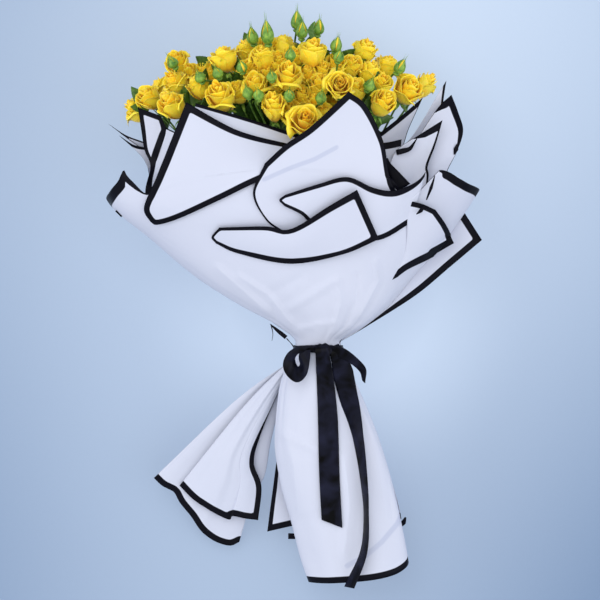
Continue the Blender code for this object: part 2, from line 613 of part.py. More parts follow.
def leaf_form(length):
    """A leaflet: a thin blade with a toothed edge, a folded midrib and a pointed tip."""
    width, thick = 0.30 * length, 0.8
    stations = np.array([0.0, 0.34, 0.44, 1.0])
    half = width * np.array([0.12, 1.0, 0.80, 0.06])
    arch = 0.16 * length * stations**2
    rows = []
    for x, w, drop in zip(stations * length, half, arch):
        rows.append([(-w, -drop + 0.3 * w, x), (0.0, -drop, x), (w, -drop + 0.3 * w, x)])
    top = np.array(rows).reshape(-1, 3)
    low = top - [0.0, thick, 0.0]
    count, faces = len(top), []
    for r in range(len(stations) - 1):
        for c in range(2):
            a = 3 * r + c
            b = a + 3
            faces += [(a, b + 1, a + 1), (a, b, b + 1)]
            faces += [(a + count, a + 1 + count, b + 1 + count), (a + count, b + 1 + count, b + count)]
    rim = [0, 1, 2] + [3 * r + 2 for r in range(1, len(stations))]
    rim += [3 * len(stations) - 2] + [3 * r for r in range(len(stations) - 1, 0, -1)]
    for a, b in zip(rim, rim[1:] + rim[:1]):
        faces += [(a, b, b + count), (a, b + count, a + count)]
    return np.vstack([top, low]), faces


def tube(name, points, radius, ring=0):
    """A stem along points: a bevelled curve with filled caps, made a mesh with welded caps."""
    curve = bpy.data.curves.new(name, "CURVE")
    curve.dimensions = "3D"
    curve.bevel_depth = radius * MM
    curve.bevel_resolution = ring
    curve.use_fill_caps = True
    spline = curve.splines.new("POLY")
    spline.points.add(len(points) - 1)
    for place, point in zip(spline.points, np.asarray(points) * MM):
        place.co = (*point, 1.0)
    guide = bpy.data.objects.new(name, curve)
    pieces.objects.link(guide)
    bpy.context.view_layer.update()
    mesh = bpy.data.meshes.new_from_object(guide.evaluated_get(bpy.context.evaluated_depsgraph_get()))
    bpy.data.objects.remove(guide, do_unlink=True)
    work = bmesh.new()
    work.from_mesh(mesh)
    bmesh.ops.remove_doubles(work, verts=work.verts, dist=1e-6)
    bmesh.ops.recalc_face_normals(work, faces=work.faces)
    work.to_mesh(mesh)
    work.free()
    mesh.materials.clear()
    mesh.materials.append(GREEN)
    made = bpy.data.objects.new(name, mesh)
    pieces.objects.link(made)
    return made


def bent_clear(points, centres, radii, own, clear=3.8, rounds=160):
    """Pushes the inner points of a path out of every flower but its own, and then drops the
    points that hardly bend it."""
    path = np.asarray(points, float)
    for _ in range(rounds):
        apart = path[1:-1, None] - centres[None]
        distance = np.linalg.norm(apart, axis=2)
        need = radii + clear - distance
        need[:, own] = 0.0
        push = (apart / distance[..., None] * np.maximum(need, 0.0)[..., None]).sum(1)
        path[1:-1] += 0.6 * push
        path[1:-1] = 0.96 * path[1:-1] + 0.02 * (path[:-2] + path[2:])
    kept = [0]
    for i in range(1, len(path) - 1):
        ahead = path[i + 1] - path[kept[-1]]
        off = np.cross(ahead, path[i] - path[kept[-1]])
        if np.linalg.norm(off) / np.linalg.norm(ahead) > 1.6 or i == len(path) - 2:
            kept.append(i)
    return path[kept + [len(path) - 1]]


def flowers():
    """Blooms, buds, leaves and stems, shared out over seven sprays."""
    heads = []
    for number, (x, y, width, length, tilt, rise) in enumerate(BLOOMS):
        size = (width * BLOOM_SCALE, length * BLOOM_SCALE)
        reach = math.hypot(0.51 * size[0], 0.28 * size[1]) + 0.7
        place = (x, y, head_height(x, y, rise))
        heads.append({"name": "bloom_%02d" % (number + 1), "place": place, "reach": reach,
                      "size": size, "tilt": tilt, "group": number})
    for number, (name, tilt, places) in enumerate(PACKED):
        for place in places:
            heads.append({"name": name, "place": place, "reach": PACKED_REACH,
                          "size": PACKED_SIZE, "tilt": tilt, "group": 100 + number})
    for number, (x, y, length) in enumerate(BUDS):
        place = (x, y, head_height(x, y, 14 + 0.3 * length))
        heads.append({"name": None, "place": place, "reach": 0.46 * length + 0.8,
                      "size": (0.0, length), "tilt": 0.25, "group": 200 + number})
    radii = np.array([head["reach"] for head in heads])
    group = np.array([head["group"] for head in heads])
    centres = settle(np.array([head["place"] for head in heads]), radii, group)

    forks = np.array(FORKS, float)
    own_fork = np.argmin(np.linalg.norm(centres[:, None] - forks[None], axis=2), axis=1)
    green = [[] for _ in FORKS]
    roots = np.zeros_like(centres)
    for k, (fork, angle) in enumerate(zip(forks, TIE_ANGLES)):
        spread = STEM_PITCH if k < len(forks) - 1 else 0.0
        place = np.array([spread * math.cos(math.radians(angle)), 0, spread * math.sin(math.radians(angle))])
        tie = np.array([NECK_X, NECK_Y, TIE_Z]) + place
        end = tie + 0.4 * place + [9, STEM_END_Y - NECK_Y, -14]
        rise = smooth_line([tie + [0, 12, 0], 0.5 * tie + 0.5 * fork, fork], np.linspace(0, 1, 5))
        path = np.vstack([end, tie - [0, 9, 0], rise])
        green[k].append(tube("spray_%d_green" % (k + 1), path, STEM_RADIUS, 1))
        down = (rise[-2] - rise[-1]) / np.linalg.norm(rise[-2] - rise[-1])
        mine = [i for i in np.argsort(-centres[:, 1]) if own_fork[i] == k]
        for order, i in enumerate(mine):
            roots[i] = fork + down * (1.0 + BRANCH_PITCH * order)

    branches = []
    packed = {}
    for i, (head, centre) in enumerate(zip(heads, centres)):
        own = int(own_fork[i])
        width, length = head["size"]
        way = facing(centre, head["tilt"])
        base = centre - way * length * 0.5
        if head["name"]:
            form, faces = bloom_form(width, length, 0.7 * i)
            bloom = mesh_object(head["name"], turned(form, base, way, 2.4 * i), faces, PETAL_YELLOW)
            if head["group"] >= 100:
                packed.setdefault(head["name"], []).append(bloom)
            others = np.arange(len(heads)) != i
            room = (np.linalg.norm(centres - base, axis=1) - radii)[others].min()
            form, faces = calyx_form(float(np.clip(room - 1.5, 5.0, 12.5)))
            foot = base - way * (CALYX_DEPTH - 1.5)
        else:
            form, faces = bud_form(length)
            foot = base + way * 1.5
        cap = mesh_object("cap", turned(form, base, way, 0.9 * i), faces, GREEN, pieces)
        path = smooth_line([roots[i], roots[i] + 0.5 * (foot - way * 16 - roots[i]),
                            foot - way * 14, foot], np.linspace(0, 1, 9))
        path = bent_clear(path, centres, radii, i)
        green[own] += [cap, tube("branch", path, BRANCH_RADIUS)]
        branches.append((way, own, path))
    leaves(green, branches, centres, radii)
    for name, bunch in packed.items():
        join_all(bunch[0], bunch[1:])
        bunch[0].name = name
    for parts in green:
        bouquet.objects.link(parts[0])
        pieces.objects.unlink(parts[0])
        join_all(parts[0], parts[1:])


def leaves(green, branches, centres, radii):
    """A leaflet on every third branch, turned to where it has most room."""
    for way, own, path in branches[::3]:
        root = path[-2]
        side = np.cross(way, [0.2, 0.9, 0.4])
        side = side / np.linalg.norm(side)
        other = np.cross(way, side)
        best = None
        for step in range(12):
            turn = step * math.pi / 6
            out = 0.8 * (math.cos(turn) * side + math.sin(turn) * other) + 0.45 * way
            out = out / np.linalg.norm(out)
            line = root + np.outer(np.linspace(6, 30, 7), out)
            room = (np.linalg.norm(line[:, None] - centres[None], axis=2) - radii).min()
            room = min(room, 0.6 * (height_at(FRONT, line[:, 0], line[:, 1]) - line[:, 2]).min())
            room = min(room, 0.6 * (line[:, 2] - height_at(BACK, line[:, 0], line[:, 1])).min())
            for _, spray, stalk in branches:
                if spray != own:
                    room = min(room, np.linalg.norm(line[:, None] - stalk[None], axis=2).min())
            if best is None or room > best[0]:
                best = (room, out)
        if best[0] < 8.0:
            continue
        form, faces = leaf_form(30.0)
        blade = turned(form, root, best[1], 0.5)
        green[own].append(mesh_object("leaflet", blade, faces, GREEN, pieces))


def binding():
    """The twine that binds the stems at the neck, hidden by the film."""
    inner = STEM_PITCH + STEM_RADIUS + GAP
    bpy.ops.mesh.primitive_torus_add(
        location=(NECK_X * MM, NECK_Y * MM, TIE_Z * MM), rotation=(math.pi / 2, 0, 0),
        major_segments=16, minor_segments=5, major_radius=(inner + 1.2) * MM, minor_radius=1.1 * MM)
    twine = bpy.context.object
    twine.name = "binding_twine"
    twine.data.materials.append(TIE_BEIGE)
    for collection in twine.users_collection:
        collection.objects.unlink(twine)
    bouquet.objects.link(twine)
    bpy.ops.object.transform_apply(location=True, rotation=True, scale=True)


def centre_on_origin():
    """Moves the whole bouquet so that the middle of its box is over the origin."""
    view = bpy.context.evaluated_depsgraph_get()
    corners = []
    for made in bouquet.objects:
        solid = made.evaluated_get(view)
        corners += [solid.matrix_world @ Vector(corner) for corner in solid.bound_box]
    corners = np.array(corners)
    low, high = corners.min(0), corners.max(0)
    shift = Vector((-(low[0] + high[0]) / 2, -(low[1] + high[1]) / 2, -low[2]))
    for made in bouquet.objects:
        made.data.transform(Matrix.Translation(shift))


sheet("wrap_front_sheet", FRONT_GRID)
sheet("wrap_back_sheet", BACK_GRID)
front_flaps()
right_flaps()
left_flaps()
skirt_fans()
ribbon()
flowers()
binding()
bpy.data.collections.remove(pieces)
centre_on_origin()
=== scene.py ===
"""The looks of a wrapped bouquet of yellow spray roses that lies on its back.

It is dressed from the outside in: the floral film, the ribbon, the roses, their stems.
Each section's sizes are in millimetres and become metres when its mesh is made.
"""
import math

import bpy
import numpy as np
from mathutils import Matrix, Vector
from mathutils.bvhtree import BVHTree


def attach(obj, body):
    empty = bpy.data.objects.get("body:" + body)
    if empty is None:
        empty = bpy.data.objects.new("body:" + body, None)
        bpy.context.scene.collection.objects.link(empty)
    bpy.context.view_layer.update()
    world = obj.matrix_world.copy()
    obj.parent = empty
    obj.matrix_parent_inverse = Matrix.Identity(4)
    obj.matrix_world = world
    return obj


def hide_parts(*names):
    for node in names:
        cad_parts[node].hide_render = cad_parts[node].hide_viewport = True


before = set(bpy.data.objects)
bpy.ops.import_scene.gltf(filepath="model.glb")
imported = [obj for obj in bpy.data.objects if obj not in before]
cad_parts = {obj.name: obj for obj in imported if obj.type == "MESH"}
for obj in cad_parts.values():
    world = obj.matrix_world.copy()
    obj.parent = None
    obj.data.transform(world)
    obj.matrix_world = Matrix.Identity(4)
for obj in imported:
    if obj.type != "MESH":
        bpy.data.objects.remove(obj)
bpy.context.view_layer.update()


# The front sheet
# One sheet of matt white floral film, about 0.7 m long. It is rolled round the front of the
# bunch as half a cone, gathered in at the neck and left to spread below it as a skirt.
# Its edges carry a printed black band.
FILM = 0.5                  # thickness of the film
PLACE = np.array([-0.3063, -1.712, 0.0])       # puts the middle of the bouquet's box at the origin
NECK_Y = -56.0              # where the ribbon ties it
SKIRT_SHARE = 0.46          # share of a sheet's rows that lie below the neck
ROW_SHARE = np.linspace(0, 1, 150)[:, None]     # the place of each row from the hem to the top
# Along it from hem to top: Y, X of its left and right edge, Z of both, its bulge above them
SIDE_Y = [-345, -309, -265, -212, -166, -110, -82, -64, -48, -27, -3, 29, 79, 116, 140, 156, 260]
LEFT_SIDE = [20, 8, -3, -17, -23, -19, -12, 1.5, 1.5, -22, -66, -117, -177, -221, -235, -243, -243]
RIGHT_SIDE = [142, 137, 129, 117, 103, 80, 66, 55.5, 55.5, 86, 114, 140, 183, 209, 224, 232, 232]
EDGE_Z = [36, 44, 58, 72, 84, 97, 103, 108, 108, 108, 108, 108, 108, 108, 108, 108, 108]
BULGE = [40, 39, 36, 34, 32, 28, 26, 26, 26, 40, 57, 74, 94, 106, 111, 113, 114]
# Round its top from left to right: angle, Y of the edge with its two corners, width printed
EAR_ANGLE = np.radians([0, 15, 23, 29, 32, 33.5, 35, 40, 60, 90, 120, 130, 138, 139, 150, 160, 180])
EAR_Y = [122, 130, 138, 146, 153, 158, 149, 130, 146, 158, 148, 124, 156, 158, 148, 141, 134]
EAR_BAND = [12, 12, 12, 12, 11.5, 10, 8.5, 1.8, 2.5, 7, 7, 0.4, 0.4, 9, 10, 10, 10]
# Round its hem: angle and Y of the edge
HEM_ANGLE = np.radians([0, 45, 90, 135, 180])
HEM_Y = [-337, -338.5, -336, -328, -310]
HEM_BAND = 8                # width of the printed band along a hem


def fair(at, xs, ys):
    """A smooth curve through the points (xs, ys), read at each value of at. Between two points
    it is a cubic whose end slopes are the harmonic means of the slopes beside them, or 0 at a
    peak."""
    xs, ys = np.asarray(xs, float), np.asarray(ys, float)
    steps = np.diff(ys) / np.diff(xs)
    before, after = steps[:-1], steps[1:]
    rising = before * after > 0
    inner = np.where(rising, 2 * before * after / np.where(rising, before + after, 1.0), 0.0)
    slope = np.concatenate([steps[:1], inner, steps[-1:]])
    at = np.clip(at, xs[0], xs[-1])
    k = np.clip(np.searchsorted(xs, at) - 1, 0, len(xs) - 2)
    wide = xs[k + 1] - xs[k]
    t = (at - xs[k]) / wide
    return (ys[k] * (1 + 2 * t) * (1 - t)**2 + slope[k] * wide * t * (1 - t)**2
            + ys[k + 1] * t**2 * (3 - 2 * t) + slope[k + 1] * wide * t**2 * (t - 1))


def smooth_line(points, at):
    """A Catmull-Rom curve through points, read where at gives the share of its length."""
    points = np.asarray(points, float)
    if len(points) == 2:
        return points[0] + np.outer(at, points[1] - points[0])
    ends = np.vstack([2 * points[0] - points[1], points, 2 * points[-1] - points[-2]])
    t = np.linspace(0, len(points) - 1, 40 * (len(points) - 1) + 1)
    k = np.minimum(t.astype(int), len(points) - 2)
    s = (t - k)[:, None]
    p0, p1, p2, p3 = ends[k], ends[k + 1], ends[k + 2], ends[k + 3]
    curve = 0.5 * (2 * p1 + (p2 - p0) * s + (2 * p0 - 5 * p1 + 4 * p2 - p3) * s**2
                   + (3 * p1 - p0 - 3 * p2 + p3) * s**3)
    length = np.concatenate([[0], np.cumsum(np.linalg.norm(np.diff(curve, axis=0), axis=1))])
    wanted = np.asarray(at) * length[-1]
    return np.stack([np.interp(wanted, length, curve[:, i]) for i in range(curve.shape[1])], 1)


def unit(vectors):
    """The vectors at length 1."""
    return vectors / np.linalg.norm(vectors, axis=-1, keepdims=True)


def shader(name, settings):
    """A new material, its Principled shader with some plain settings, and its node tree."""
    material = bpy.data.materials.new(name)
    material.use_nodes = True
    surface = material.node_tree.nodes["Principled BSDF"]
    for key, value in settings.items():
        surface.inputs[key].default_value = value
    return material, surface, material.node_tree


def node(tree, kind, **settings):
    """A new node with its settings; a setting whose name is a socket's goes to the socket."""
    made = tree.nodes.new(kind)
    for key, value in settings.items():
        if key in made.inputs.keys():
            made.inputs[key].default_value = value
        else:
            setattr(made, key, value)
    return made


def blend_colours(tree, factor, first, second):
    """A Mix node from the colour or socket first to second by the socket factor."""
    mix = node(tree, "ShaderNodeMix", data_type="RGBA")
    tree.links.new(factor, mix.inputs[0])
    for socket, value in ((mix.inputs[6], first), (mix.inputs[7], second)):
        if isinstance(value, tuple):
            socket.default_value = (*value, 1.0)
        else:
            tree.links.new(value, socket)
    return mix.outputs[2]


def fine_relief():
    """Fine unevenness for any finish: a noise over a vector, as a mask and as a normal."""
    group = bpy.data.node_groups.new("fine_relief", "ShaderNodeTree")
    for name, kind, value in (("Vector", "NodeSocketVector", None), ("Scale", "NodeSocketFloat", 30.0),
                              ("Detail", "NodeSocketFloat", 2.0), ("Swirl", "NodeSocketFloat", 0.0),
                              ("Strength", "NodeSocketFloat", 0.2), ("Distance", "NodeSocketFloat", 0.001)):
        socket = group.interface.new_socket(name, in_out="INPUT", socket_type=kind)
        if value is not None:
            socket.default_value = value
    group.interface.new_socket("Mask", in_out="OUTPUT", socket_type="NodeSocketFloat")
    group.interface.new_socket("Normal", in_out="OUTPUT", socket_type="NodeSocketVector")
    given, result = group.nodes.new("NodeGroupInput"), group.nodes.new("NodeGroupOutput")
    noise, bump = group.nodes.new("ShaderNodeTexNoise"), group.nodes.new("ShaderNodeBump")
    for socket, to in (("Vector", noise.inputs["Vector"]), ("Scale", noise.inputs["Scale"]),
                       ("Detail", noise.inputs["Detail"]), ("Swirl", noise.inputs["Distortion"]),
                       ("Strength", bump.inputs["Strength"]), ("Distance", bump.inputs["Distance"])):
        group.links.new(given.outputs[socket], to)
    group.links.new(noise.outputs["Fac"], bump.inputs["Height"])
    group.links.new(noise.outputs["Fac"], result.inputs["Mask"])
    group.links.new(bump.outputs["Normal"], result.inputs["Normal"])
    return group


FINE_RELIEF = fine_relief()


def relief(tree, surface, vector, scale, detail, swirl, strength, distance):
    """The fine relief on a surface, with its own values; returns its mask."""
    made = tree.nodes.new("ShaderNodeGroup")
    made.node_tree = FINE_RELIEF
    tree.links.new(vector, made.inputs["Vector"])
    for key, value in (("Scale", scale), ("Detail", detail), ("Swirl", swirl),
                       ("Strength", strength), ("Distance", distance)):
        made.inputs[key].default_value = value
    tree.links.new(made.outputs["Normal"], surface.inputs["Normal"])
    return made.outputs["Mask"]


def spread(tree, factor, low, high, start=0.0, end=1.0, interpolation="LINEAR"):
    """The socket factor, from start to end, spread from low to high."""
    made = node(tree, "ShaderNodeMapRange", interpolation_type=interpolation)
    for key, value in (("From Min", start), ("From Max", end), ("To Min", low), ("To Max", high)):
        made.inputs[key].default_value = value
    tree.links.new(factor, made.inputs["Value"])
    return made.outputs["Result"]


def creased_film():
    """Matt white film with soft crumples and slow clouds in its white. It is printed black,
    and glossier there, where 'band' is under 1, and a band of a sheet behind it shows through
    as pale grey where 'behind' is under 1."""
    material, surface, tree = shader("white_film", {"Specular IOR Level": 0.05})
    where = node(tree, "ShaderNodeTexCoord").outputs["Object"]
    band = node(tree, "ShaderNodeAttribute", attribute_name="band").outputs["Fac"]
    behind = node(tree, "ShaderNodeAttribute", attribute_name="behind").outputs["Fac"]
    printed = spread(tree, band, 1.0, 0.0, 0.95, 1.03, "SMOOTHSTEP")
    cloudy = node(tree, "ShaderNodeTexNoise", Scale=7.0, Detail=2.0)
    tree.links.new(where, cloudy.inputs["Vector"])
    white = blend_colours(tree, cloudy.outputs["Fac"], (0.520, 0.548, 0.660), (0.600, 0.618, 0.720))
    white = blend_colours(tree, spread(tree, behind, 0.6, 0.0, 0.5, 1.2, "SMOOTHSTEP"), white,
                          (0.41, 0.445, 0.585))
    crumpled = relief(tree, surface, where, 24.0, 3.0, 1.4, 0.32, 0.002)
    ink = blend_colours(tree, crumpled, (0.002, 0.002, 0.003), (0.006, 0.006, 0.012))
    tree.links.new(blend_colours(tree, printed, white, ink), surface.inputs["Base Color"])
    gloss = node(tree, "ShaderNodeTexNoise", Scale=30.0, Detail=1.0)
    tree.links.new(where, gloss.inputs["Vector"])
    rough = node(tree, "ShaderNodeMath", operation="MULTIPLY_ADD")
    tree.links.new(printed, rough.inputs[0])
    tree.links.new(spread(tree, gloss.outputs["Fac"], -0.40, -0.05, 0.35, 0.6), rough.inputs[1])
    rough.inputs[2].default_value = 0.55
    tree.links.new(rough.outputs["Value"], surface.inputs["Roughness"])
    return material


FILM_FINISH = creased_film()


def away_from(points, line, widths):
    """Distance of each point to a polyline, over the polyline's width at the nearest place.
    widths are shared out evenly along it."""
    line = np.asarray(line, float)
    share = np.linspace(0, 1, len(line))
    nearest, there = np.full(len(points), 1e9), np.zeros(len(points))
    for k, (a, d) in enumerate(zip(line[:-1], np.diff(line, axis=0))):
        t = np.clip((points - a) @ d / max(d @ d, 1e-9), 0, 1)
        distance = np.linalg.norm(points - a - t[:, None] * d, axis=1)
        closer = distance < nearest
        nearest = np.where(closer, distance, nearest)
        there = np.where(closer, share[k] + t * (share[1] - share[0]), there)
    widths = np.ravel(widths)
    return nearest / np.interp(there, np.linspace(0, 1, len(widths)), widths)


def cells(rows, columns):
    """The four corners of each cell of a grid of points, row by row."""
    a = (np.arange(rows - 1)[:, None] * columns + np.arange(columns - 1)[None]).ravel()
    return np.stack([a, a + 1, a + 1 + columns, a + columns], 1)


def piece_of(name, points, faces, finish, marks):
    """A piece from points in millimetres and its faces. marks holds, under each attribute's
    name, a value for every point."""
    mesh = bpy.data.meshes.new(name)
    mesh.from_pydata(((points + PLACE) * 0.001).tolist(), [], faces.tolist())
    for key, values in marks.items():
        mesh.attributes.new(key, "FLOAT", "POINT").data.foreach_set("value", values)
    mesh.shade_smooth()
    mesh.materials.append(finish)
    piece = bpy.data.objects.new(name, mesh)
    bpy.context.scene.collection.objects.link(piece)
    return piece


def walled(piece, thickness):
    """Gives a surface its thickness, half of it on each side."""
    wall = piece.modifiers.new("wall", "SOLIDIFY")
    wall.thickness = thickness * 0.001
    wall.offset = 0.0


def film(name, grid, bands, behind=(), finish=FILM_FINISH, thickness=FILM, of=None,
         axes=3):
    """A sheet from a grid of points (rows, columns, 3) that stands for the node called name,
    or is a further part of the node called of. bands gives the printed band's width along
    each side, in space or, with two axes, in the plan; behind the lines of the plan, with
    their width, at which the band of another sheet shows through."""
    rows, columns = grid.shape[:2]
    sides = {"bottom": grid[0], "top": grid[-1], "left": grid[:, 0], "right": grid[:, -1]}
    points = grid.reshape(-1, 3)
    marks = {"band": np.full(len(points), 4.0), "behind": np.full(len(points), 4.0)}
    for side, widths in bands.items():
        marks["band"] = np.minimum(marks["band"], away_from(points[:, :axes], sides[side][::2, :axes],
                                                             widths))
    for line, width in behind:
        marks["behind"] = np.minimum(marks["behind"], away_from(points[:, :2], line, width))
    piece = piece_of(name + "_film", points, cells(rows, columns), finish, marks)
    walled(piece, thickness)
    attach(piece, "root")
    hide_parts(of or name)
    return piece


def crumples(grid, lines):
    """Soft creases that a hand left in the film: along each line of the plan a tent over the
    distance to it. lines gives points, half width and height."""
    plan = grid[..., :2].reshape(-1, 2)
    total = np.zeros(len(plan))
    for line, half_width, height in lines:
        total += height * np.maximum(1 - away_from(plan, line, half_width), 0)**1.3
    return total.reshape(grid.shape[:2])


def gathers(around, y, count, depth):
    """How far the film is drawn in by its pleats: a squared wave round the neck, count times,
    that is nothing for 8 mm from the neck's middle, deepest 26 mm farther on, and then fades
    out. Slower waves shift it, so that no two pleats are alike."""
    far = np.maximum(np.abs(y - NECK_Y) - 8, 0) / 26
    swell = far * np.exp(1 - far)
    wave = np.sin(count * around + 2.2 * np.sin(3 * around + 0.006 * y) + 0.8 * np.sin(0.03 * y))
    return depth * swell * (0.5 + 0.5 * wave)**2


def soft_folds(around, y, height):
    """Broad folds that grow from 11 to 121 mm from the neck: seven waves round the cone, slowly
    turned along it."""
    return height * np.clip(np.abs(y - NECK_Y) / 110 - 0.1, 0, 1) * np.sin(7 * around + 0.011 * y + 0.6)


def rows_between(hem_y, top_y):
    """Y of a sheet's points, in even rows from its hem up to the neck and from there to its top."""
    return np.where(ROW_SHARE < SKIRT_SHARE, hem_y + (NECK_Y - hem_y) * ROW_SHARE / SKIRT_SHARE,
                    NECK_Y + (top_y - NECK_Y) * (ROW_SHARE - SKIRT_SHARE) / (1 - SKIRT_SHARE))


def middle_and_half(y, ys, left, right):
    """The middle of a sheet at y, and half its width, from its sides at the heights ys."""
    west, east = fair(y, ys, left), fair(y, ys, right)
    return (east + west) / 2, (east - west) / 2


# At each Y half an ellipse from edge to edge, which the pleats and folds draw in
around = np.linspace(0, np.pi, 241)
y = rows_between(fair(around, HEM_ANGLE, HEM_Y), fair(around, EAR_ANGLE, EAR_Y))
middle, half = middle_and_half(y, SIDE_Y, LEFT_SIDE, RIGHT_SIDE)
drawn_in = gathers(around, y, 13, 1.5) + soft_folds(around, y, 0.9)
front = np.stack([middle - (half - drawn_in) * np.cos(around), y,
                  fair(y, SIDE_Y, EDGE_Z) + (fair(y, SIDE_Y, BULGE) - drawn_in) * np.sin(around)], 2)
front[..., 2] += crumples(front, [
    ([(-91, 40), (-63, 16), (-35, -10)], 9, 2.4), ([(-65, 30), (-31, 9), (-6, -23)], 8, 2.25),
    ([(-6, -7), (25, 11), (49, 27)], 9, 2.1), ([(7, -32), (26, -26), (45, -24)], 6, 1.65),
    ([(52, 25), (55, 0), (49, -24)], 7, 2.1), ([(74, 32), (74, 3), (58, -32)], 7, -1.95),
    ([(97, 48), (101, 27), (79, -16)], 7, 2.25), ([(-27, -5), (-23, -19)], 5, -1.8),
    ([(-27, 11), (7, 30)], 10, -1.5), ([(-15, -159), (5, -168), (27, -176)], 7, 2.25),
    ([(-16, -150), (-2, -190), (4, -250)], 12, 2.1), ([(60, -190), (66, -240), (60, -300)], 12, 1.95),
    ([(100, -150), (112, -210), (118, -260)], 9, -1.8),
])
film("wrap_front_sheet", front,
     {"bottom": HEM_BAND, "top": fair(np.linspace(0, np.pi, 61), EAR_ANGLE, EAR_BAND)},
     behind=[([(63, -317), (85, -305), (105, -288), (124, -266), (131, -250)], 3.6)])


# The back sheet
# The same film behind the flowers. The bouquet lies on it, so it is pressed flat on the
# table under the flowers and again at its hem.
# Along it, as for the front sheet, but it bulges downwards
BACK_Y = [-300, -262, -212, -160, -110, -82, -64, -48, -27, -3, 29, 79, 116, 150, 180, 215]
BACK_LEFT = [-26, -22, -16, -9, 2, 6, 9.5, 9.5, -12, -57, -108, -162, -177, -170, -166, -164]
BACK_RIGHT = [132, 129, 116, 96, 68, 55, 47.5, 47.5, 80, 108, 134, 170, 183, 181, 176, 172]
BACK_EDGE_Z = [14, 20, 36, 56, 74, 84, 92, 92, 97, 103, 105.8, 105.8, 105.8, 105.8, 105.8, 105.8]
BACK_BULGE = [20, 24, 24, 20, 14, 11, 9.4, 9.4, 26, 47, 74, 99, 113, 116, 116, 115]

# Half an ellipse at each Y, no lower than the table. Its top is a little higher at both sides,
# and its hem reaches lowest in the middle.
around = np.linspace(0, np.pi, 141)
y = rows_between(-248 - 14 * around / np.pi - 36 * np.sin(around)**1.5, 186 + 10 * np.cos(2 * around))
middle, half = middle_and_half(y, BACK_Y, BACK_LEFT, BACK_RIGHT)
drawn_in = gathers(around, y, 17, 2.6)
drop = (fair(y, BACK_Y, BACK_BULGE) - drawn_in) * np.sin(around)
back = np.stack([middle - (half - drawn_in) * np.cos(around), y,
                 np.maximum(fair(y, BACK_Y, BACK_EDGE_Z) - drop, FILM / 2)], 2)
film("wrap_back_sheet", back, {"bottom": HEM_BAND, "top": HEM_BAND})


# The flaps over the front
# Corners of the same film, turned out and folded back over the cone in broad soft leaves.
# Each is banded along its free sides.


def tree_of(grid):
    """The sheet as a tree of faces that a ray can be cast at."""
    return BVHTree.FromPolygons(grid.reshape(-1, 3).tolist(), cells(*grid.shape[:2]).tolist())


def section(sides, y):
    """The X and the heights of a sheet's section at y, from left to right: half an ellipse
    between its two edges."""
    ys, left, right, edge_z, bulge = sides
    turn = np.linspace(0, np.pi, 61)
    middle, half = middle_and_half(y, ys, left, right)
    return middle - half * np.cos(turn), fair(y, ys, edge_z) + fair(y, ys, bulge) * np.sin(turn)


FRONT = (SIDE_Y, LEFT_SIDE, RIGHT_SIDE, EDGE_Z, BULGE), tree_of(front)
BACK = (BACK_Y, BACK_LEFT, BACK_RIGHT, BACK_EDGE_Z, np.negative(BACK_BULGE)), tree_of(back)
OVER_ALL = 400.0            # a height above every piece


def height_at(form, x, y):
    """Height of a sheet under each point of the plan: where a ray straight down meets it, or
    past its edge the height of its section."""
    sides, tree = form
    x, y = np.broadcast_arrays(np.asarray(x, float), np.asarray(y, float))
    heights = []
    for a, b in zip(x.ravel(), y.ravel()):
        hit = tree.ray_cast((a, b, OVER_ALL), (0, 0, -1))[0]
        heights.append(hit.z if hit else np.interp(a, *section(sides, b)))
    return np.reshape(heights, x.shape)


def lifted(form, x, y, lift):
    """Points over a sheet: its surface point, plus up to 2 mm of lift along its normal, plus
    the rest of the lift straight up."""
    x, y, lift = np.broadcast_arrays(x, y, lift)
    slope_x = (height_at(form, x + 1, y) - height_at(form, x - 1, y)) / 2
    slope_y = (height_at(form, x, y + 1) - height_at(form, x, y - 1)) / 2
    along_normal = np.clip(lift, -2.0, 2.0)
    square = along_normal / np.sqrt(1 + slope_x**2 + slope_y**2)
    rise = square + lift - along_normal
    return np.stack([x - square * slope_x, y - square * slope_y, height_at(form, x, y) + rise], -1)


FLAP_POINTS = 61            # points along each side of a flap


def coons(bottom, top, left, right, rows=FLAP_POINTS):
    """The patch between four edges: the two ruled surfaces between facing edges, added, less
    the flat blend of the four corners."""
    us, vs = np.linspace(0, 1, FLAP_POINTS), np.linspace(0, 1, rows)
    u, v = us[None, :, None], vs[:, None, None]
    low, high = smooth_line(bottom, us)[None], smooth_line(top, us)[None]
    west, east = smooth_line(left, vs)[:, None], smooth_line(right, vs)[:, None]
    corners = ((1 - u) * (1 - v) * low[:, :1] + u * (1 - v) * low[:, -1:]
               + (1 - u) * v * high[:, :1] + u * v * high[:, -1:])
    return (1 - v) * low + v * high + (1 - u) * west + u * east - corners


def laid_flap(name, bottom, top, left, right, lift, bands, crown=0.0, wave=0.0, behind=(), eased=0):
    """A flap over the front sheet: a patch in the plan, raised by lift at its four corners
    (the upper two by the square of the way up), by crown in its middle, and by a slow wave
    that grows towards its free top, and starts elsewhere for a name of another length. Its
    heights are then averaged across it, eased times."""
    plan = coons(bottom, top, left, right)
    u = np.linspace(0, 1, FLAP_POINTS)[None, :]
    v = u.T
    low, high = (1 - u) * lift[0] + u * lift[1], (1 - u) * lift[2] + u * lift[3]
    raised = low + (high - low) * v**2 + crown * np.sin(np.pi * u) * np.sin(np.pi * v)
    raised = raised + wave * v * np.sin(5.2 * u + 2.4 * v + len(name))
    grid = lifted(FRONT, plan[..., 0], plan[..., 1], raised)
    for _ in range(eased):
        grid[:, 1:-1, 2] = (grid[:, :-2, 2] + 2 * grid[:, 1:-1, 2] + grid[:, 2:, 2]) / 4
    film(name, grid, bands, behind, axes=2)


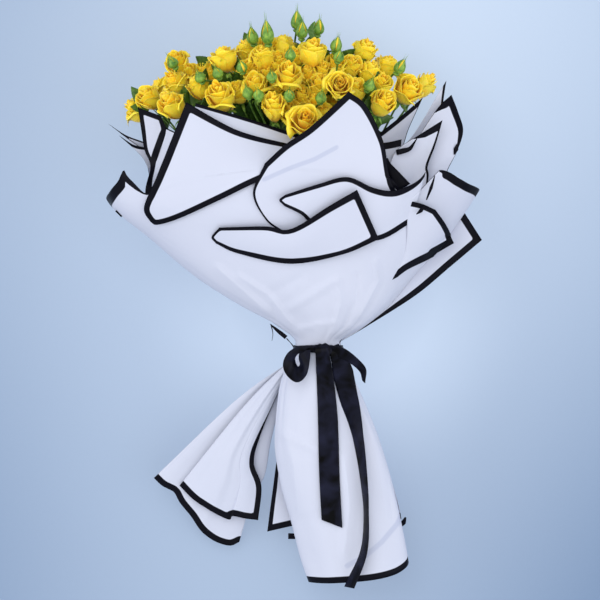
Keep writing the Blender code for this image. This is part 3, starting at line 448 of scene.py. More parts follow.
laid_flap("wrap_front_liner",
          bottom=[(-120, 128), (-60, 132), (10, 138)],
          top=[(-118, 237), (-53, 218), (3, 200), (24, 195)],
          left=[(-120, 128), (-124, 180), (-118, 237)],
          right=[(10, 138), (24, 195)],
          lift=(-1.5, -3, -7, -38), crown=1.5, bands={"top": [4, 4, 4.5]})
laid_flap("wrap_front_left_flap",
          bottom=[(-171, 98), (-163, 94), (-137, 101), (-89, 122), (-47, 142), (0, 162)],
          top=[(-128, 238), (-69, 205), (-5, 188), (10, 186)],
          left=[(-171, 98), (-178, 109), (-176, 122), (-161, 155), (-128, 238)],
          right=[(0, 162), (10, 186)],
          lift=(5.5, 4.0, 7, -20), crown=3, wave=1.0,
          bands={"top": [8.5, 7, 6, 5], "left": [6, 8, 9, 9, 9], "bottom": [6, 6.5, 7, 7]})
laid_flap("wrap_front_centre_flap",
          bottom=[(-15, 84), (40, 82), (90, 98), (128, 122)],
          top=[(-35, 165), (-11, 187), (20, 209), (64, 250)],
          left=[(-15, 84), (-34, 99), (-49, 130), (-35, 165)],
          right=[(128, 122), (113, 148), (105, 191), (85, 233), (64, 250)],
          lift=(1.5, 3.0, 9, 24), wave=1.2,
          bands={"top": [6, 7, 7.5], "left": [2.5, 2, 3, 5.5], "right": [7, 5, 5.5, 6.5, 7]},
          behind=[([(-36, 146), (-4, 160), (24, 170), (50, 184)], 3)])
laid_flap("wrap_front_fold",
          bottom=[(-12, 115), (8, 105), (20, 94), (50, 78), (99, 75), (137, 95)],
          top=[(-11, 128), (26, 140), (62, 149), (92, 137), (115, 133), (135, 139), (148, 147), (155, 155)],
          left=[(-12, 115), (-18, 122), (-11, 128)],
          right=[(137, 95), (147, 125), (155, 155)],
          lift=(9, 1.5, 12, 14), crown=3,
          bands={"top": [3.5, 4, 4.5, 4.7, 5, 5.3, 5.7, 6, 6.6, 7, 7, 6, 4, 1.2], "left": 3,
                 "bottom": [3.5, 4.5, 4.5, 5, 6, 6]})
laid_flap("wrap_front_low_flap",
          bottom=[(-93, 71), (-65, 59), (-4, 47), (57, 58), (100, 76)],
          top=[(-89, 90), (-34, 91), (-4, 88), (41, 115), (74, 134)],
          left=[(-93, 71), (-98, 79), (-89, 90)],
          right=[(100, 76), (74, 134)],
          lift=(1.3, 11, 5, 22), crown=5,
          bands={"top": [3.5, 4.5, 5.5, 7, 8], "left": 3, "right": 7.5, "bottom": [3.5, 6, 6.5, 5, 6.5]})


# The flaps on the right
# More turned corners of film, fanned one behind the other, from the front of the cone to
# the back. The rearmost stands between the two sheets.


def free_flap(name, bottom, top, left, right, bands, crown=0.0, rows=FLAP_POINTS, pleats=0.0, of=None):
    """A flap whose four edges are curves in space: their patch, raised by crown in its middle
    and by pleats that run down it, two waves across it that grow away from its narrow end."""
    grid = coons(bottom, top, left, right, rows=rows)
    u, v = np.linspace(0, 1, FLAP_POINTS)[None, :], np.linspace(0, 1, rows)[:, None]
    grid[..., 2] += crown * np.sin(np.pi * u) * np.sin(np.pi * v)
    grid[..., 2] += pleats * np.sin(np.pi * u) * (1 - v) * v**0.4 * (
        np.sin(17 * u + 2.2 * np.sin(5 * u)) + 0.5 * np.sin(31 * u + 1.0))
    film(name, grid, bands, of=of)


def rooted(form, plan, lift):
    """A line of the plan put beside a sheet, as the root of a flap."""
    plan = smooth_line(plan, np.linspace(0, 1, 7))
    return lifted(form, plan[:, 0], plan[:, 1], lift)


laid_flap("wrap_right_flap",
          bottom=[(114, 25), (133, 40), (159, 53), (191, 71)],
          top=[(133, 122), (151, 118), (167, 111)],
          left=[(114, 25), (132, 62), (133, 122)],
          right=[(191, 71), (180, 93), (167, 111)],
          lift=(-0.8, 24, 4, 18), eased=260,
          bands={"top": 6, "right": [7, 6.5, 6], "bottom": [6, 8.5, 8]})
LEVEL = 106.9               # the outer flap lies level, just under the edge of the front sheet
free_flap("wrap_right_outer_flap",
          bottom=[(57, -46, LEVEL), (91, -26, LEVEL), (146, 9, LEVEL), (187, 43, LEVEL), (225, 75, LEVEL)],
          top=[(70, -14, LEVEL), (130, 50, LEVEL), (172, 98, LEVEL), (202, 111, LEVEL)],
          left=[(57, -46, LEVEL), (70, -14, LEVEL)],
          right=[(225, 75, LEVEL), (202, 111, LEVEL)],
          bands={"bottom": [0.05, 0.4, 2, 4.5, 6.2, 7.2, 7.6, 7.8, 8, 8, 8], "right": 8.5})
root = rooted(FRONT, [(139, 108), (147, 106), (155, 106)], -1.5)
free_flap("wrap_right_pocket",
          bottom=root,
          top=[(113, 164, 165), (123, 183, 160), (147, 199, 154), (177, 218, 148)],
          left=[root[0], (134, 140, 171), (125, 153, 167), (113, 164, 165)],
          right=[root[-1], (160, 150, 164), (159, 163, 160), (169, 190, 152), (177, 218, 148)],
          crown=-6, bands={"top": [0.1, 0.1, 0.1, 0.1, 6.5, 8, 8], "right": [1, 3.2, 1.6]})
root = rooted(FRONT, [(154, 113), (164, 112), (174, 109)], -1.4)
free_flap("wrap_right_tall_flap",
          bottom=root,
          top=[(140, 185, 141), (170, 231, 130), (188, 249, 124)],
          left=[root[0], (150, 150, 152), (140, 185, 141)],
          right=[root[-1], (181, 152, 136), (195, 182, 129), (202, 206, 126), (196, 228, 125),
                 (188, 249, 124)],
          bands={"top": [0.1, 0.1, 0.1, 0.1, 8, 9], "right": [0.1, 0.1, 0.1, 1, 0.5, 5, 7.5, 8, 8]})
root = rooted(FRONT, [(90, 112), (104, 112), (118, 112)], -1.35)
free_flap("wrap_right_inner_flap",
          bottom=root,
          top=[(101, 202, 136), (126, 222, 125), (154, 246, 116)],
          left=[root[0], (94, 160, 158), (101, 202, 136)],
          right=[root[-1], (124, 160, 140), (134, 200, 124), (143, 222, 119), (154, 246, 116)],
          bands={"top": 5.0, "right": 0.8})
root = rooted(FRONT, [(94, 114), (106, 114), (117, 114)], -1.0)
free_flap("wrap_right_inner_ply",
          bottom=root,
          top=[(99, 190, 151), (112, 191.5, 151), (128, 195, 150)],
          left=[root[0], (95, 155, 164), (99, 190, 151)],
          right=[root[-1], (124, 155, 162), (128, 195, 150)],
          bands={"top": 8.5}, of="wrap_right_inner_flap")
root = rooted(BACK, [(128, 100), (142, 100), (156, 100)], 1.5)
free_flap("wrap_right_spike",
          bottom=root,
          top=[(117, 172, 112), (140, 198, 119), (156, 222, 121), (168, 243, 121), (182, 266, 120)],
          left=[root[0], (114, 122, 80), (115, 148, 100), (117, 172, 112)],
          right=[root[-1], (164, 128, 86), (169, 165, 112), (176, 220, 121), (179, 246, 121),
                 (182, 266, 120)],
          bands={"right": [0.1, 0.1, 2.2, 3]})


# The flaps on the left
# Two narrow corners of film stand between the front and the back sheet, each with a further
# ply inside it. They are held at their feet, where the two sheets meet.
root = rooted(FRONT, [(-178, 108), (-173, 108), (-167, 108)], -1.4)
free_flap("wrap_left_inner_flap",
          bottom=root,
          top=[(-187, 233, 150), (-160, 223, 159)],
          left=[root[0], (-178, 136, 146), (-172, 163, 154), (-179, 182, 154), (-183, 206, 152),
                (-187, 233, 150)],
          right=[root[-1], (-169, 142, 150), (-165, 166, 158), (-161, 180, 161), (-154, 200, 161),
                 (-153, 208, 160), (-160, 223, 159)],
          bands={"left": [8, 8, 4, 4.5, 5.5, 5.5], "top": 6, "right": [8.5, 8.5, 8.5, 8.5, 8, 4]})
root = rooted(FRONT, [(-168, 110), (-154, 112), (-138, 112)], -1.8)
free_flap("wrap_left_inner_ply",
          bottom=root,
          top=[(-156, 210, 156), (-144, 204, 170), (-134, 200, 184)],
          left=[root[0], (-170, 140, 152), (-166, 162, 158), (-162, 185, 158), (-156, 210, 156)],
          right=[root[-1], (-132, 160, 186), (-134, 200, 184)],
          bands={"top": 1.5}, of="wrap_left_inner_flap")
root = rooted(BACK, [(-168, 104), (-160, 104), (-148, 104)], 1.5)
free_flap("wrap_left_corner",
          bottom=root,
          top=[(-223, 214, 118), (-203, 201, 117), (-185, 194, 115), (-172, 190, 112)],
          left=[root[0], (-174, 150, 98), (-181, 180, 112), (-200, 197, 116), (-223, 214, 118)],
          right=[root[-1], (-164, 150, 90), (-172, 190, 112)],
          bands={"left": [0.1, 0.1, 0.1, 0.5, 1.2], "top": [1, 1.8, 1.8]})
free_flap("wrap_left_corner_ply",
          bottom=[(-175, 160, 112), (-170, 165, 112), (-164, 170, 112)],
          top=[(-210, 200, 121), (-193, 189, 121), (-178, 186, 120), (-164, 184, 118)],
          left=[(-175, 160, 112), (-184, 176, 118), (-210, 200, 121)],
          right=[(-164, 170, 112), (-164, 184, 118)],
          bands={"top": [2, 3.4, 3.4], "left": 0.2}, of="wrap_left_corner")


# The folds of the skirt
# Below the ribbon the ends of the inner sheets fan out to the left in long soft folds. They
# are banded along the hem, and drawn together where they go under the ribbon.
free_flap("skirt_left_lower_fold",
          bottom=[(-170, -212, 40), (-160.5, -221, 37), (-150, -226.5, 34), (-145, -230, 33),
                  (-138.5, -242, 30), (-125.5, -258, 27), (-115.5, -273, 25), (-107, -281.5, 22),
                  (-94, -289.5, 19), (-78, -293.5, 17), (-67, -289, 16)],
          top=[(4.4, -50, 98), (5.4, -50, 96.5), (6.9, -50, 95)],
          left=[(-170, -212, 40), (-71, -118, 76), (-10, -74, 93), (3.9, -63, 97), (4.4, -50, 98)],
          right=[(-67, -290, 16), (-52, -240, 30), (-36, -208, 40), (-28, -165, 58), (-12, -105, 79),
                 (6.6, -63, 94.6), (6.9, -50, 95)],
          pleats=2.0, bands={"bottom": 7.8}, rows=101)
free_flap("skirt_left_upper_fold",
          bottom=[(-139, -221, 40), (-123.5, -237, 40), (-105, -249.5, 40), (-91, -257.5, 38),
                  (-78.5, -262.5, 36), (-75, -258, 41), (-60, -261, 39), (-44, -263, 36)],
          top=[(2.5, -50, 103), (2.8, -50, 101.8), (3.2, -50, 100.6)],
          left=[(-139, -221, 40), (-60, -124, 77.5), (-10, -74, 97.0), (2.1, -63, 102.4), (2.5, -50, 103)],
          right=[(-44, -263, 36), (-40, -222, 46), (-49, -194, 57), (-43, -165, 66), (-24, -118, 82),
                 (2.8, -63, 100.4), (3.2, -50, 100.6)],
          crown=5, pleats=2.4, bands={"bottom": 7.8, "right": [7, 7, 6, 1.2, 0.2, 0.2]}, rows=101)
root = rooted(BACK, [(22, -69), (27, -69), (32, -69)], 1.2)
free_flap("skirt_middle_fold",
          bottom=[(-33, -277, 32), (-3, -270, 36), (30, -262, 40)],
          top=root,
          left=[(-33, -277, 32), (-27, -231, 44), (-17, -166, 68), (2, -108, 84), root[0]],
          right=[(30, -262, 40), (20, -170, 58), (29, -104, 74), root[-1]],
          bands={"bottom": 7.6, "left": [5.5, 5, 3.2, 1, 0.5]}, rows=101)


def on_front(points, lift):
    """Points of the plan laid over the front sheet, each raised by its lift."""
    return [(x, y, float(height_at(FRONT, x, y)) + rise) for (x, y), rise in zip(points, lift)]


def strip(path, widths):
    """A level strip along a smooth curve through path. It reaches half of its width to each
    side, square to the path, and widths are shared out along it."""
    at = np.linspace(0, 1, 13)
    middle = smooth_line(path, at)
    side = unit(np.cross(np.gradient(middle, axis=0), [0, 0, 1.0]))
    half_width = np.interp(at, np.linspace(0, 1, len(widths)), widths)[:, None, None] / 2
    return middle[:, None] - side[:, None] * half_width * np.linspace(-1, 1, 5)[None, :, None]


# Narrow ends of the inner sheets' printed hems peek out here and there. The tenth is no hem:
# a black wedge that closes the dark gap beside the centre flap, painted shade. Each is a strip
# of film beside the sheet that it belongs to, and black all over.
ALL_OVER = 30               # a printed band wider than any strip
for number, (of, path, widths) in enumerate([
        ("wrap_front_sheet", [(-29, -26, 116), (-21, -33, 117), (-10, -42, 117)], [1, 3.5, 5, 5]),
        ("wrap_front_sheet", [(-28, -27, 115), (-26, -37, 115), (-27, -46, 115)], [1.5, 0.8, 0.5]),
        ("wrap_front_sheet", [(-9.5, -43, 117.5), (-5, -48, 118), (-1, -53, 118)], [1.4, 0.8, 1.6]),
        ("wrap_front_sheet", [(51, -52, 118), (54, -48, 117.5), (57, -44, 117)], [2, 1.4, 0.5]),
        ("wrap_front_sheet", on_front([(-213.5, 110.5), (-206.5, 103.5)], [4, 4]), [3.6, 3.6]),
        ("wrap_back_sheet", [(-7.7, -282.4, 34), (2, -282.6, 34)], [7, 7]),
        ("wrap_back_sheet", [(126, -270, 52), (131, -266, 54), (134, -259, 58)], [4, 6, 2]),
        ("wrap_right_tall_flap", [(195, 190, 131), (193.5, 184, 132), (191, 177, 132)], [1.5, 6, 1]),
        ("wrap_right_inner_flap",
         [(121.5, 179, 163), (130, 181, 163), (137.5, 183.5, 163), (142.5, 190, 162), (147, 197, 160)],
         [6.5, 6.5, 5, 2.5, 0.8]),
        # A black wedge for the shade in the gap beside the centre flap: painted shade.
        ("wrap_right_inner_flap", [(110, 172, 178), (112, 164, 178), (120, 151, 180), (129, 136, 182)],
         [3, 9, 15, 21]),
        ("wrap_right_pocket", on_front([(167, 151), (163, 138), (157, 122)], [12, 13, 14]), [1, 4, 1.5]),
        ("wrap_front_fold", on_front([(155, 115), (150, 109), (145, 105)], [16, 15, 14]), [1, 5, 1])]):
    film("hem_and_shade_scrap_%d" % (number + 1), strip(path, widths), {"left": ALL_OVER}, of=of)


# The ribbon
# Black satin ribbon, 25 mm wide and bare of any print. It is drawn twice round the neck and
# knotted in front, with two small loops and two tails that lie down the skirt.


def satin():
    """Black satin: a soft sheen over fine threads that run along the ribbon, whose UV map is
    its length and width in millimetres. Its black is also lightened to navy in broad patches,
    a painted sheen."""
    material, surface, tree = shader("black_satin", {"Specular IOR Level": 0.07})
    where = node(tree, "ShaderNodeUVMap", uv_map="UVMap").outputs["UV"]
    threads = node(tree, "ShaderNodeTexWave", Scale=0.7, Distortion=0.3, bands_direction="Y")
    tree.links.new(where, threads.inputs["Vector"])
    painted_sheen = relief(tree, surface, where, 0.045, 2.0, 0.5, 0.35, 0.0008)
    # Painted sheen: the navy end lightens the black in broad patches.
    colour = blend_colours(tree, spread(tree, painted_sheen, 0.0, 1.0, 0.35, 0.7), (0.0006, 0.0006, 0.0012),
                           (0.011, 0.012, 0.027))
    tree.links.new(colour, surface.inputs["Base Color"])
    tree.links.new(spread(tree, threads.outputs["Fac"], 0.24, 0.40), surface.inputs["Roughness"])
    return material


SATIN = satin()
SATIN_THICK = 0.5


def map_flat(mesh, flat):
    """The UV map of a mesh, from the place of each of its points on the flat piece."""
    uv = mesh.uv_layers.new(name="UVMap")
    corner = np.zeros(len(mesh.loops), int)
    mesh.loops.foreach_get("vertex_index", corner)
    uv.data.foreach_set("uv", flat[corner].ravel())


def ribbon_piece(name, grid):
    """A length of ribbon from a grid of points (along, across, 3), with its length and width
    as its UV map, and made solid."""
    piece = film(name, grid, {}, finish=SATIN, thickness=SATIN_THICK)
    along = np.linalg.norm(np.diff(grid.mean(1), axis=0), axis=1)
    run = np.concatenate([[0], np.cumsum(along)])
    width = np.linalg.norm(np.diff(grid, axis=1), axis=2).sum(1).mean()
    flat = np.stack(np.broadcast_arrays(run[:, None], np.linspace(0, width, grid.shape[1])[None]), 2)
    map_flat(piece.data, flat.reshape(-1, 2))


def ribbon_strip(name, path, across, width, cup=0.0, curl=0.0, slant=0.0):
    """Ribbon along a path: its cross line turns with across, width is one or several shared
    out along it, its middle is raised by cup, a slow ripple of height curl runs down it, and
    over its last tenth its two sides are drawn apart along it by slant, for a slanting cut."""
    at = np.linspace(0, 1, 121)
    middle, side = smooth_line(path, at), unit(smooth_line(across, at))
    ahead = np.gradient(middle, axis=0)
    out = unit(np.cross(side, ahead))
    out = out * np.sign(out[:, 2:] + 1e-6)      # upwards
    s = np.linspace(-1, 1, 13)[None, :, None]
    wide = np.interp(at, np.linspace(0, 1, np.size(width)), np.ravel(width))[:, None, None]
    bow = cup * (1 - s**2) + curl * np.sin(14 * at)[:, None, None] * (0.4 + 0.6 * s**2)
    cut = slant * s * np.maximum(at - 0.9, 0)[:, None, None] / 0.1
    ahead = unit(ahead)
    grid = middle[:, None] + side[:, None] * s * wide / 2 + out[:, None] * bow + ahead[:, None] * cut
    ribbon_piece(name, grid)


ribbon_strip("ribbon_long_tail",
             path=[(31.5, -50, 141.5), (32.5, -56, 147.0), (34, -66, 144.5)]
             + on_front([(35.5, -80), (37, -95), (40, -140), (42, -210), (45, -266)],
                        [5.5, 4.4, 3.4, 3.2, 3.4]),
             across=[(1, 0.1, 0.1), (1, 0.05, 0.05), (1, 0, 0.05), (1, 0, 0.05), (1, 0, 0), (1, 0, 0),
                     (1, 0, 0), (1, 0, 0)],
             width=[15, 19, 22, 24, 24.5, 24.5, 24.5, 24.5], curl=0.25,
             slant=5)
ribbon_strip("ribbon_slim_tail",
             path=[(46, -52, 140.5), (51, -62, 142.0)]
             + on_front([(56, -76), (64, -110), (74, -150), (82, -200), (86, -250), (83, -300), (66, -343)],
                        [14.0, 11.0, 9, 9.4, 9.4, 9.4, 7.6]),
             across=[(1, 0.4, 0.0), (1, 0.5, 0.1), (1, 0.45, 0.1), (1, 0.4, 0.2), (1, 0.2, 0.9),
                     (0.8, 0, 1.4), (0.7, 0, 1.6), (0.6, 0, 1.6), (0.8, -0.6, 1.0)],
             width=[14, 26, 24.5, 18, 17, 17, 17, 17, 17], cup=0.6,
             curl=0.2, slant=-3)
ribbon_strip("ribbon_left_loop",
             path=[(27, -54.5, 142.0), (11, -55.0, 144.5), (-1, -60, 145.5), (-6.5, -70, 143.5),
                   (-3.5, -80, 141), (4, -86, 139.5), (10, -80.5, 139.0), (11.5, -69, 141),
                   (13, -57, 142.5)],
             across=[(0.1, 0.9, 0.5), (0.0, 1, 0.5), (-0.7, 0.7, 0.5), (-1, 0.2, 0.45),
                     (-0.9, -0.5, 0.45), (-0.1, -1, 0.5), (0.9, -0.4, 0.5), (1, 0.05, 0.5), (1, 0.1, 0.6)],
             width=[8, 8, 11, 15, 20, 22, 19, 16, 14], cup=0.5)
ribbon_strip("ribbon_right_loop",
             path=[(42, -56, 141.5), (58, -61, 144), (72, -70.5, 138), (82, -81.5, 131), (83, -95, 127)],
             across=[(0.2, 1, 0.4), (0.45, 1, 0.5), (0.65, 0.75, 0.6), (0.95, 0.35, 0.5), (0.95, 0.1, 0.6)],
             width=[12, 14, 12, 10, 4], cup=0.4, slant=2)

TIE_HALF_WIDTH, TIE_HALF_DEPTH = 28.0, 27.0     # of the film drawn together inside the ribbon
TIE_X, TIE_Z = 28.5, 108.0                      # its middle
BAND_HALF = 4.4                                 # half the height of the two turns of ribbon
KNOT = np.array([35.0, -57.0, 140.6])           # the middle of the knot
KNOT_HALF = np.array([11.0, 8.0, 4.6])          # half of its length, height and depth


def two_turns():
    """The ribbon round the neck: an ellipse 1.5 mm outside the film, that bulges by half a
    millimetre in its middle, is creased along by two waves, and rises and falls a little."""
    turn, up = np.linspace(0, 2 * np.pi, 145)[:, None], np.linspace(-1, 1, 25)[None, :]
    creases = 0.35 * np.sin(7 * up + 0.6 * np.sin(3 * turn))
    creases = creases + 0.3 * np.sin(15 * up + 2 * np.cos(2 * turn))
    out = 1.5 + 0.5 * creases + 0.5 * (1 - up**2)
    height = NECK_Y + BAND_HALF * up + 0.4 * np.sin(4 * turn)
    return np.stack([TIE_X + (TIE_HALF_WIDTH + out) * np.cos(turn), height,
                     TIE_Z + (TIE_HALF_DEPTH + out) * np.sin(turn)], 2)


def knot():
    """The knot: a lying barrel with rounded ends, pleated round by a slow wave."""
    turn, along = np.linspace(0, 2 * np.pi, 49)[:, None], np.linspace(-1, 1, 33)[None, :]
    pleat = 1 + 0.10 * np.sin(9 * along + 1.2 * np.sin(2 * turn)) * (1 - along**2)
    girth = np.sqrt(np.maximum(1 - np.abs(along)**2.6, 0)) * pleat
    return KNOT + KNOT_HALF * np.stack([along + 0 * turn, girth * np.cos(turn), girth * np.sin(turn)], 2)


def of_grids(name, grids, finish, replaced, thickness=0.0, flat=(1.0, 1.0), marks=None):
    """One mesh from many grids of points, its seams and poles merged. The UV map runs from 0
    to flat along and across each grid. marks holds, under each attribute's name, a value for
    every point of every grid."""
    faces, flats, count = [], [], 0
    for grid in grids:
        rows, columns = grid.shape[:2]
        faces.append(cells(rows, columns) + count)
        along, across = np.linspace(0, flat[0], rows), np.linspace(0, flat[1], columns)
        flats.append(np.stack(np.broadcast_arrays(along[:, None], across[None]), 2).reshape(-1, 2))
        count += rows * columns
    points = np.vstack([grid.reshape(-1, 3) for grid in grids])
    joined = {key: np.concatenate([np.ravel(value) for value in values])
              for key, values in (marks or {}).items()}
    piece = piece_of(name, points, np.vstack(faces), finish, joined)
    map_flat(piece.data, np.vstack(flats))
    seam = piece.modifiers.new("seam", "WELD")
    seam.merge_threshold = 0.00001
    if thickness:
        walled(piece, thickness)
    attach(piece, "root")
    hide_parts(replaced)


of_grids("ribbon_neck_band", [two_turns()], SATIN, "ribbon_band", thickness=0.6,
         flat=(170, 9))
of_grids("ribbon_knot", [knot()], SATIN, "ribbon_band", flat=(40, 22))


# The roses
# Twenty-five spray roses show at the front of the head, and the others are packed behind them.
# Each has eighteen soft petals in five rings that grow from its calyx, rolled tight in the
# heart and turned out at the rim. They are yellow, and orange where they are rolled close,
# towards the feet of the petals and in the inner rings: partly the rose's own warmer heart,
# partly painted shade in the cup.
HEAD, HEAD_RADII = np.array([-12.0, 150.0, 108.0]), np.array([178.0, 175.0, 92.0])
FOCUS = np.array([-5.0, 60.0, 105.0])       # the flowers look away from this point
# Place in the plan, width, length, tilt towards the eye, height above the head
BLOOMS = [
    (-190, 229, 28.8, 33.6, 0.0, 0), (-175, 241, 31.2, 33.6, 0.5, 0), (-158, 254, 31.2, 33.6, 0.0, -22),
    (-145, 234, 32.4, 39.6, 0.3, 6), (-144, 264, 30.0, 32.4, 0.3, 0), (-114, 256, 28.8, 32.4, 0.0, -8),
    (-87, 244, 37.2, 42.0, 0.4, 0), (-82, 290, 33.6, 31.2, 0.0, 0), (-57, 300, 26.4, 31.2, 0.0, -8),
    (-38, 290, 31.2, 33.6, 0.2, 0), (-36, 262, 33.6, 33.6, 0.4, 0), (-23, 239, 28.8, 44.4, 0.3, 4),
    (-12, 308, 31.2, 33.6, 0.0, -6), (18, 293, 38.4, 36.0, 0.2, 0), (-4, 268, 34.8, 42.0, 0.4, 2),
    (22, 266, 28.8, 36.0, 0.4, 0), (50, 261, 43.2, 36.0, 3.0, 6), (16, 221, 40.8, 38.4, 1.0, 12),
    (74, 253, 31.2, 33.6, 0.4, -12), (86, 301, 31.2, 31.2, 0.2, 0), (108, 283, 31.2, 37.2, 0.2, 0),
    (88, 273, 28.8, 33.6, 0.2, -20), (101, 239, 32.4, 39.6, 0.6, 2), (135, 255, 37.2, 39.6, 0.9, 0),
    (153, 259, 26.4, 38.4, 0.0, -18),
]
# How far some of them are moved in the plan once they have settled, by their number: the
# leftmost leans in behind its flap, and the others stand a little more to the left or lower
MOVED = {1: (9, 6), 13: (0, -6), 17: (-5, -3), 18: (-3, -2), 20: (1, -5), 21: (-4, -3)}
PACKED_RADIUS, PACKED_WIDTH, PACKED_LENGTH = 15.5, 34.0, 32.0
# Roses packed until they touch: name, tilt, places
PACKED = [
    ("inner_blooms_left", 0.5, [(-122, 262, 102), (-98, 270, 108), (-74, 270, 114)]),
    ("inner_blooms_right", 0.5, [(41, 236, 111), (62, 242, 102), (81, 248, 90)]),
    ("far_blooms_left", -0.3, [(-112, 232, 46), (-86, 238, 40)]),
    ("far_blooms_right", -0.3, [(62, 236, 38), (36, 240, 33)]),
]
# Buds: place in the plan and length
BUDS = [
    (-146, 283, 16), (-113, 269, 15), (-92, 274, 15), (-63, 281, 15), (-54, 250, 16), (-43, 247, 15),
    (-49, 317, 22), (-35, 317, 32), (3, 338, 24), (10, 320, 22), (29, 330, 20), (49, 308, 20),
    (53, 294, 15), (-5, 289, 15), (-26, 269, 13), (-8, 246, 15), (31, 242, 16), (90, 259, 17),
    (127, 283, 20),
]
# Further roses that fill the gaps: how many of them stand at seeded places, and the places
# of three behind the buds of the left rim
GAP_ROSES, GAP_RADIUS, GAP_SIZE = 16, 14.0, 30.0
RIM_ROSES = [(-139, 287, 98), (-124, 272, 106), (-104, 275, 102)]
# Of each ring of petals: how many, reach, half of its angle, height at full bloom, turn out
PETALS = [
    (3, 0.15, 120, 0.97, 0.00), (3, 0.29, 84, 0.99, 0.08), (3, 0.46, 74, 0.97, 0.28),
    (4, 0.66, 60, 0.91, 0.62), (5, 0.86, 50, 0.80, 1.05),
]


def petal_yellow():
    """Petal: yellow where its tone mark is 1, as at its rim, and orange where it falls to 0, with
    fine veins and slow mottling. The orange is partly the rose's own warmer heart, partly
    painted shade deep in the cup."""
    material, surface, tree = shader("rose_petal", {
        "Subsurface Weight": 0.3, "Subsurface Radius": (0.006, 0.004, 0.0005), "Sheen Weight": 0.1})
    where = node(tree, "ShaderNodeTexCoord").outputs["Object"]
    tone_and_shade = node(tree, "ShaderNodeAttribute", attribute_name="tone_and_shade").outputs["Fac"]
    patchy = relief(tree, surface, where, 260.0, 2.0, 0.6, 0.25, 0.0006)
    veins = node(tree, "ShaderNodeTexWave", Scale=4.0, Distortion=3.0, bands_direction="Y")
    tree.links.new(node(tree, "ShaderNodeUVMap", uv_map="UVMap").outputs["UV"], veins.inputs["Vector"])
    mottled = node(tree, "ShaderNodeMath", operation="MULTIPLY_ADD")
    tree.links.new(spread(tree, veins.outputs["Fac"], 0.92, 1.04), mottled.inputs[0])
    tree.links.new(tone_and_shade, mottled.inputs[1])
    tree.links.new(spread(tree, patchy, -0.12, 0.14, 0.3, 0.7), mottled.inputs[2])
    ramp = node(tree, "ShaderNodeValToRGB")
    ramp.color_ramp.interpolation = "EASE"
    ramp.color_ramp.elements[0].position, ramp.color_ramp.elements[1].position = 0.0, 0.9
    ramp.color_ramp.elements[0].color = (0.78, 0.25, 0.002, 1.0)
    ramp.color_ramp.elements[1].color = (1.0, 0.77, 0.036, 1.0)
    ramp.color_ramp.elements.new(0.42).color = (1.0, 0.567, 0.007, 1.0)
    tree.links.new(mottled.outputs["Value"], ramp.inputs["Fac"])
    tree.links.new(ramp.outputs["Color"], surface.inputs["Base Color"])
    tree.links.new(spread(tree, tone_and_shade, 0.6, 0.42), surface.inputs["Roughness"])
    return material


PETAL_FINISH = petal_yellow()
PETAL_UP = np.array([0, 0.2, 0.4, 0.56, 0.7, 0.82, 0.92, 1.0])[:, None]
PETAL_ACROSS = np.linspace(-1, 1, 9)[None, :]
UPRIGHT = 0.62              # share of a petal below the place where it turns out


def petal(radius, length, whirl, half_angle, reach, height, turned_out, ruffle):
    """A petal about +Z, as a grid from its foot to its rim. Its distance to the axis swells
    from the foot by a quarter of a sine; over its last third it is turned out, and down, by
    a square, its sides more than its middle; its rim is an arch with a small point; a slow
    wave ruffles it, and it leans to one side."""
    u, v = PETAL_ACROSS, PETAL_UP
    swell = np.sin(np.pi / 2 * np.minimum(v / UPRIGHT, 1))
    rim = np.maximum(v - UPRIGHT, 0) / (1 - UPRIGHT)
    angle = whirl + half_angle * u * (0.45 + 0.55 * np.sin(np.pi / 2 * np.minimum(v / 0.7, 1)))
    angle = angle + 0.16 * math.sin(3 * ruffle) * v
    foot = 0.06 + 0.14 * reach
    out = foot + (reach - foot) * swell + 0.05 * u * swell
    out = out + turned_out * (0.22 * rim**2 + 0.16 * np.abs(u)**3 * rim)
    out = out + 0.05 * np.sin(5.5 * u + ruffle) * v**3 * (0.3 + turned_out)
    rise = 0.03 + (height - 0.03) * v * (1 - 0.20 * np.abs(u)**3 * v) + 0.04 * (1 - np.abs(u))**2 * v**4
    rise = rise - 0.15 * turned_out * rim**3 + 0.03 * np.sin(4 * u + 2 * ruffle) * v**3
    return np.stack([radius * out * np.cos(angle), radius * out * np.sin(angle), length * rise], 2)


def rose(width, length, openness, draw):
    """The petals of a rose about +Z, ring by ring, and the tone of each of their points, from
    orange to yellow: more yellow towards its rim, and a little more in each ring than in the one
    inside it. The orange of the feet and inner rings is partly the rose's own warmer heart,
    partly painted shade in the cup."""
    grids, tone_and_shade = [], []
    for ring, (count, reach, half_angle, height, turned_out) in enumerate(PETALS):
        for i in range(count):
            whirl = 2 * np.pi * (i + 0.12 * draw.standard_normal()) / count + 1.1 * ring
            lifted_rim = height + (0.98 - height) * (1 - openness) * 0.7
            grids.append(petal(width / 2, length, whirl, math.radians(half_angle),
                               reach * (1 + 0.05 * draw.standard_normal()),
                               lifted_rim * (1 + 0.04 * draw.standard_normal()),
                               turned_out * openness * (1 + 0.35 * draw.standard_normal()),
                               6.3 * draw.random()))
            # The tone falls towards the foot and the inner rings: partly the rose's colour, partly painted
            # shade.
            tone = (0.66 + 0.06 * ring + 0.09 * draw.standard_normal()) * PETAL_UP**0.6 + 0.04 * ring
            tone_and_shade.append(np.broadcast_to(tone, grids[-1].shape[:2]))
    return grids, tone_and_shade


PUSH = np.array([0.075, 0.075, 0.3])        # share of an overlap taken up in each round


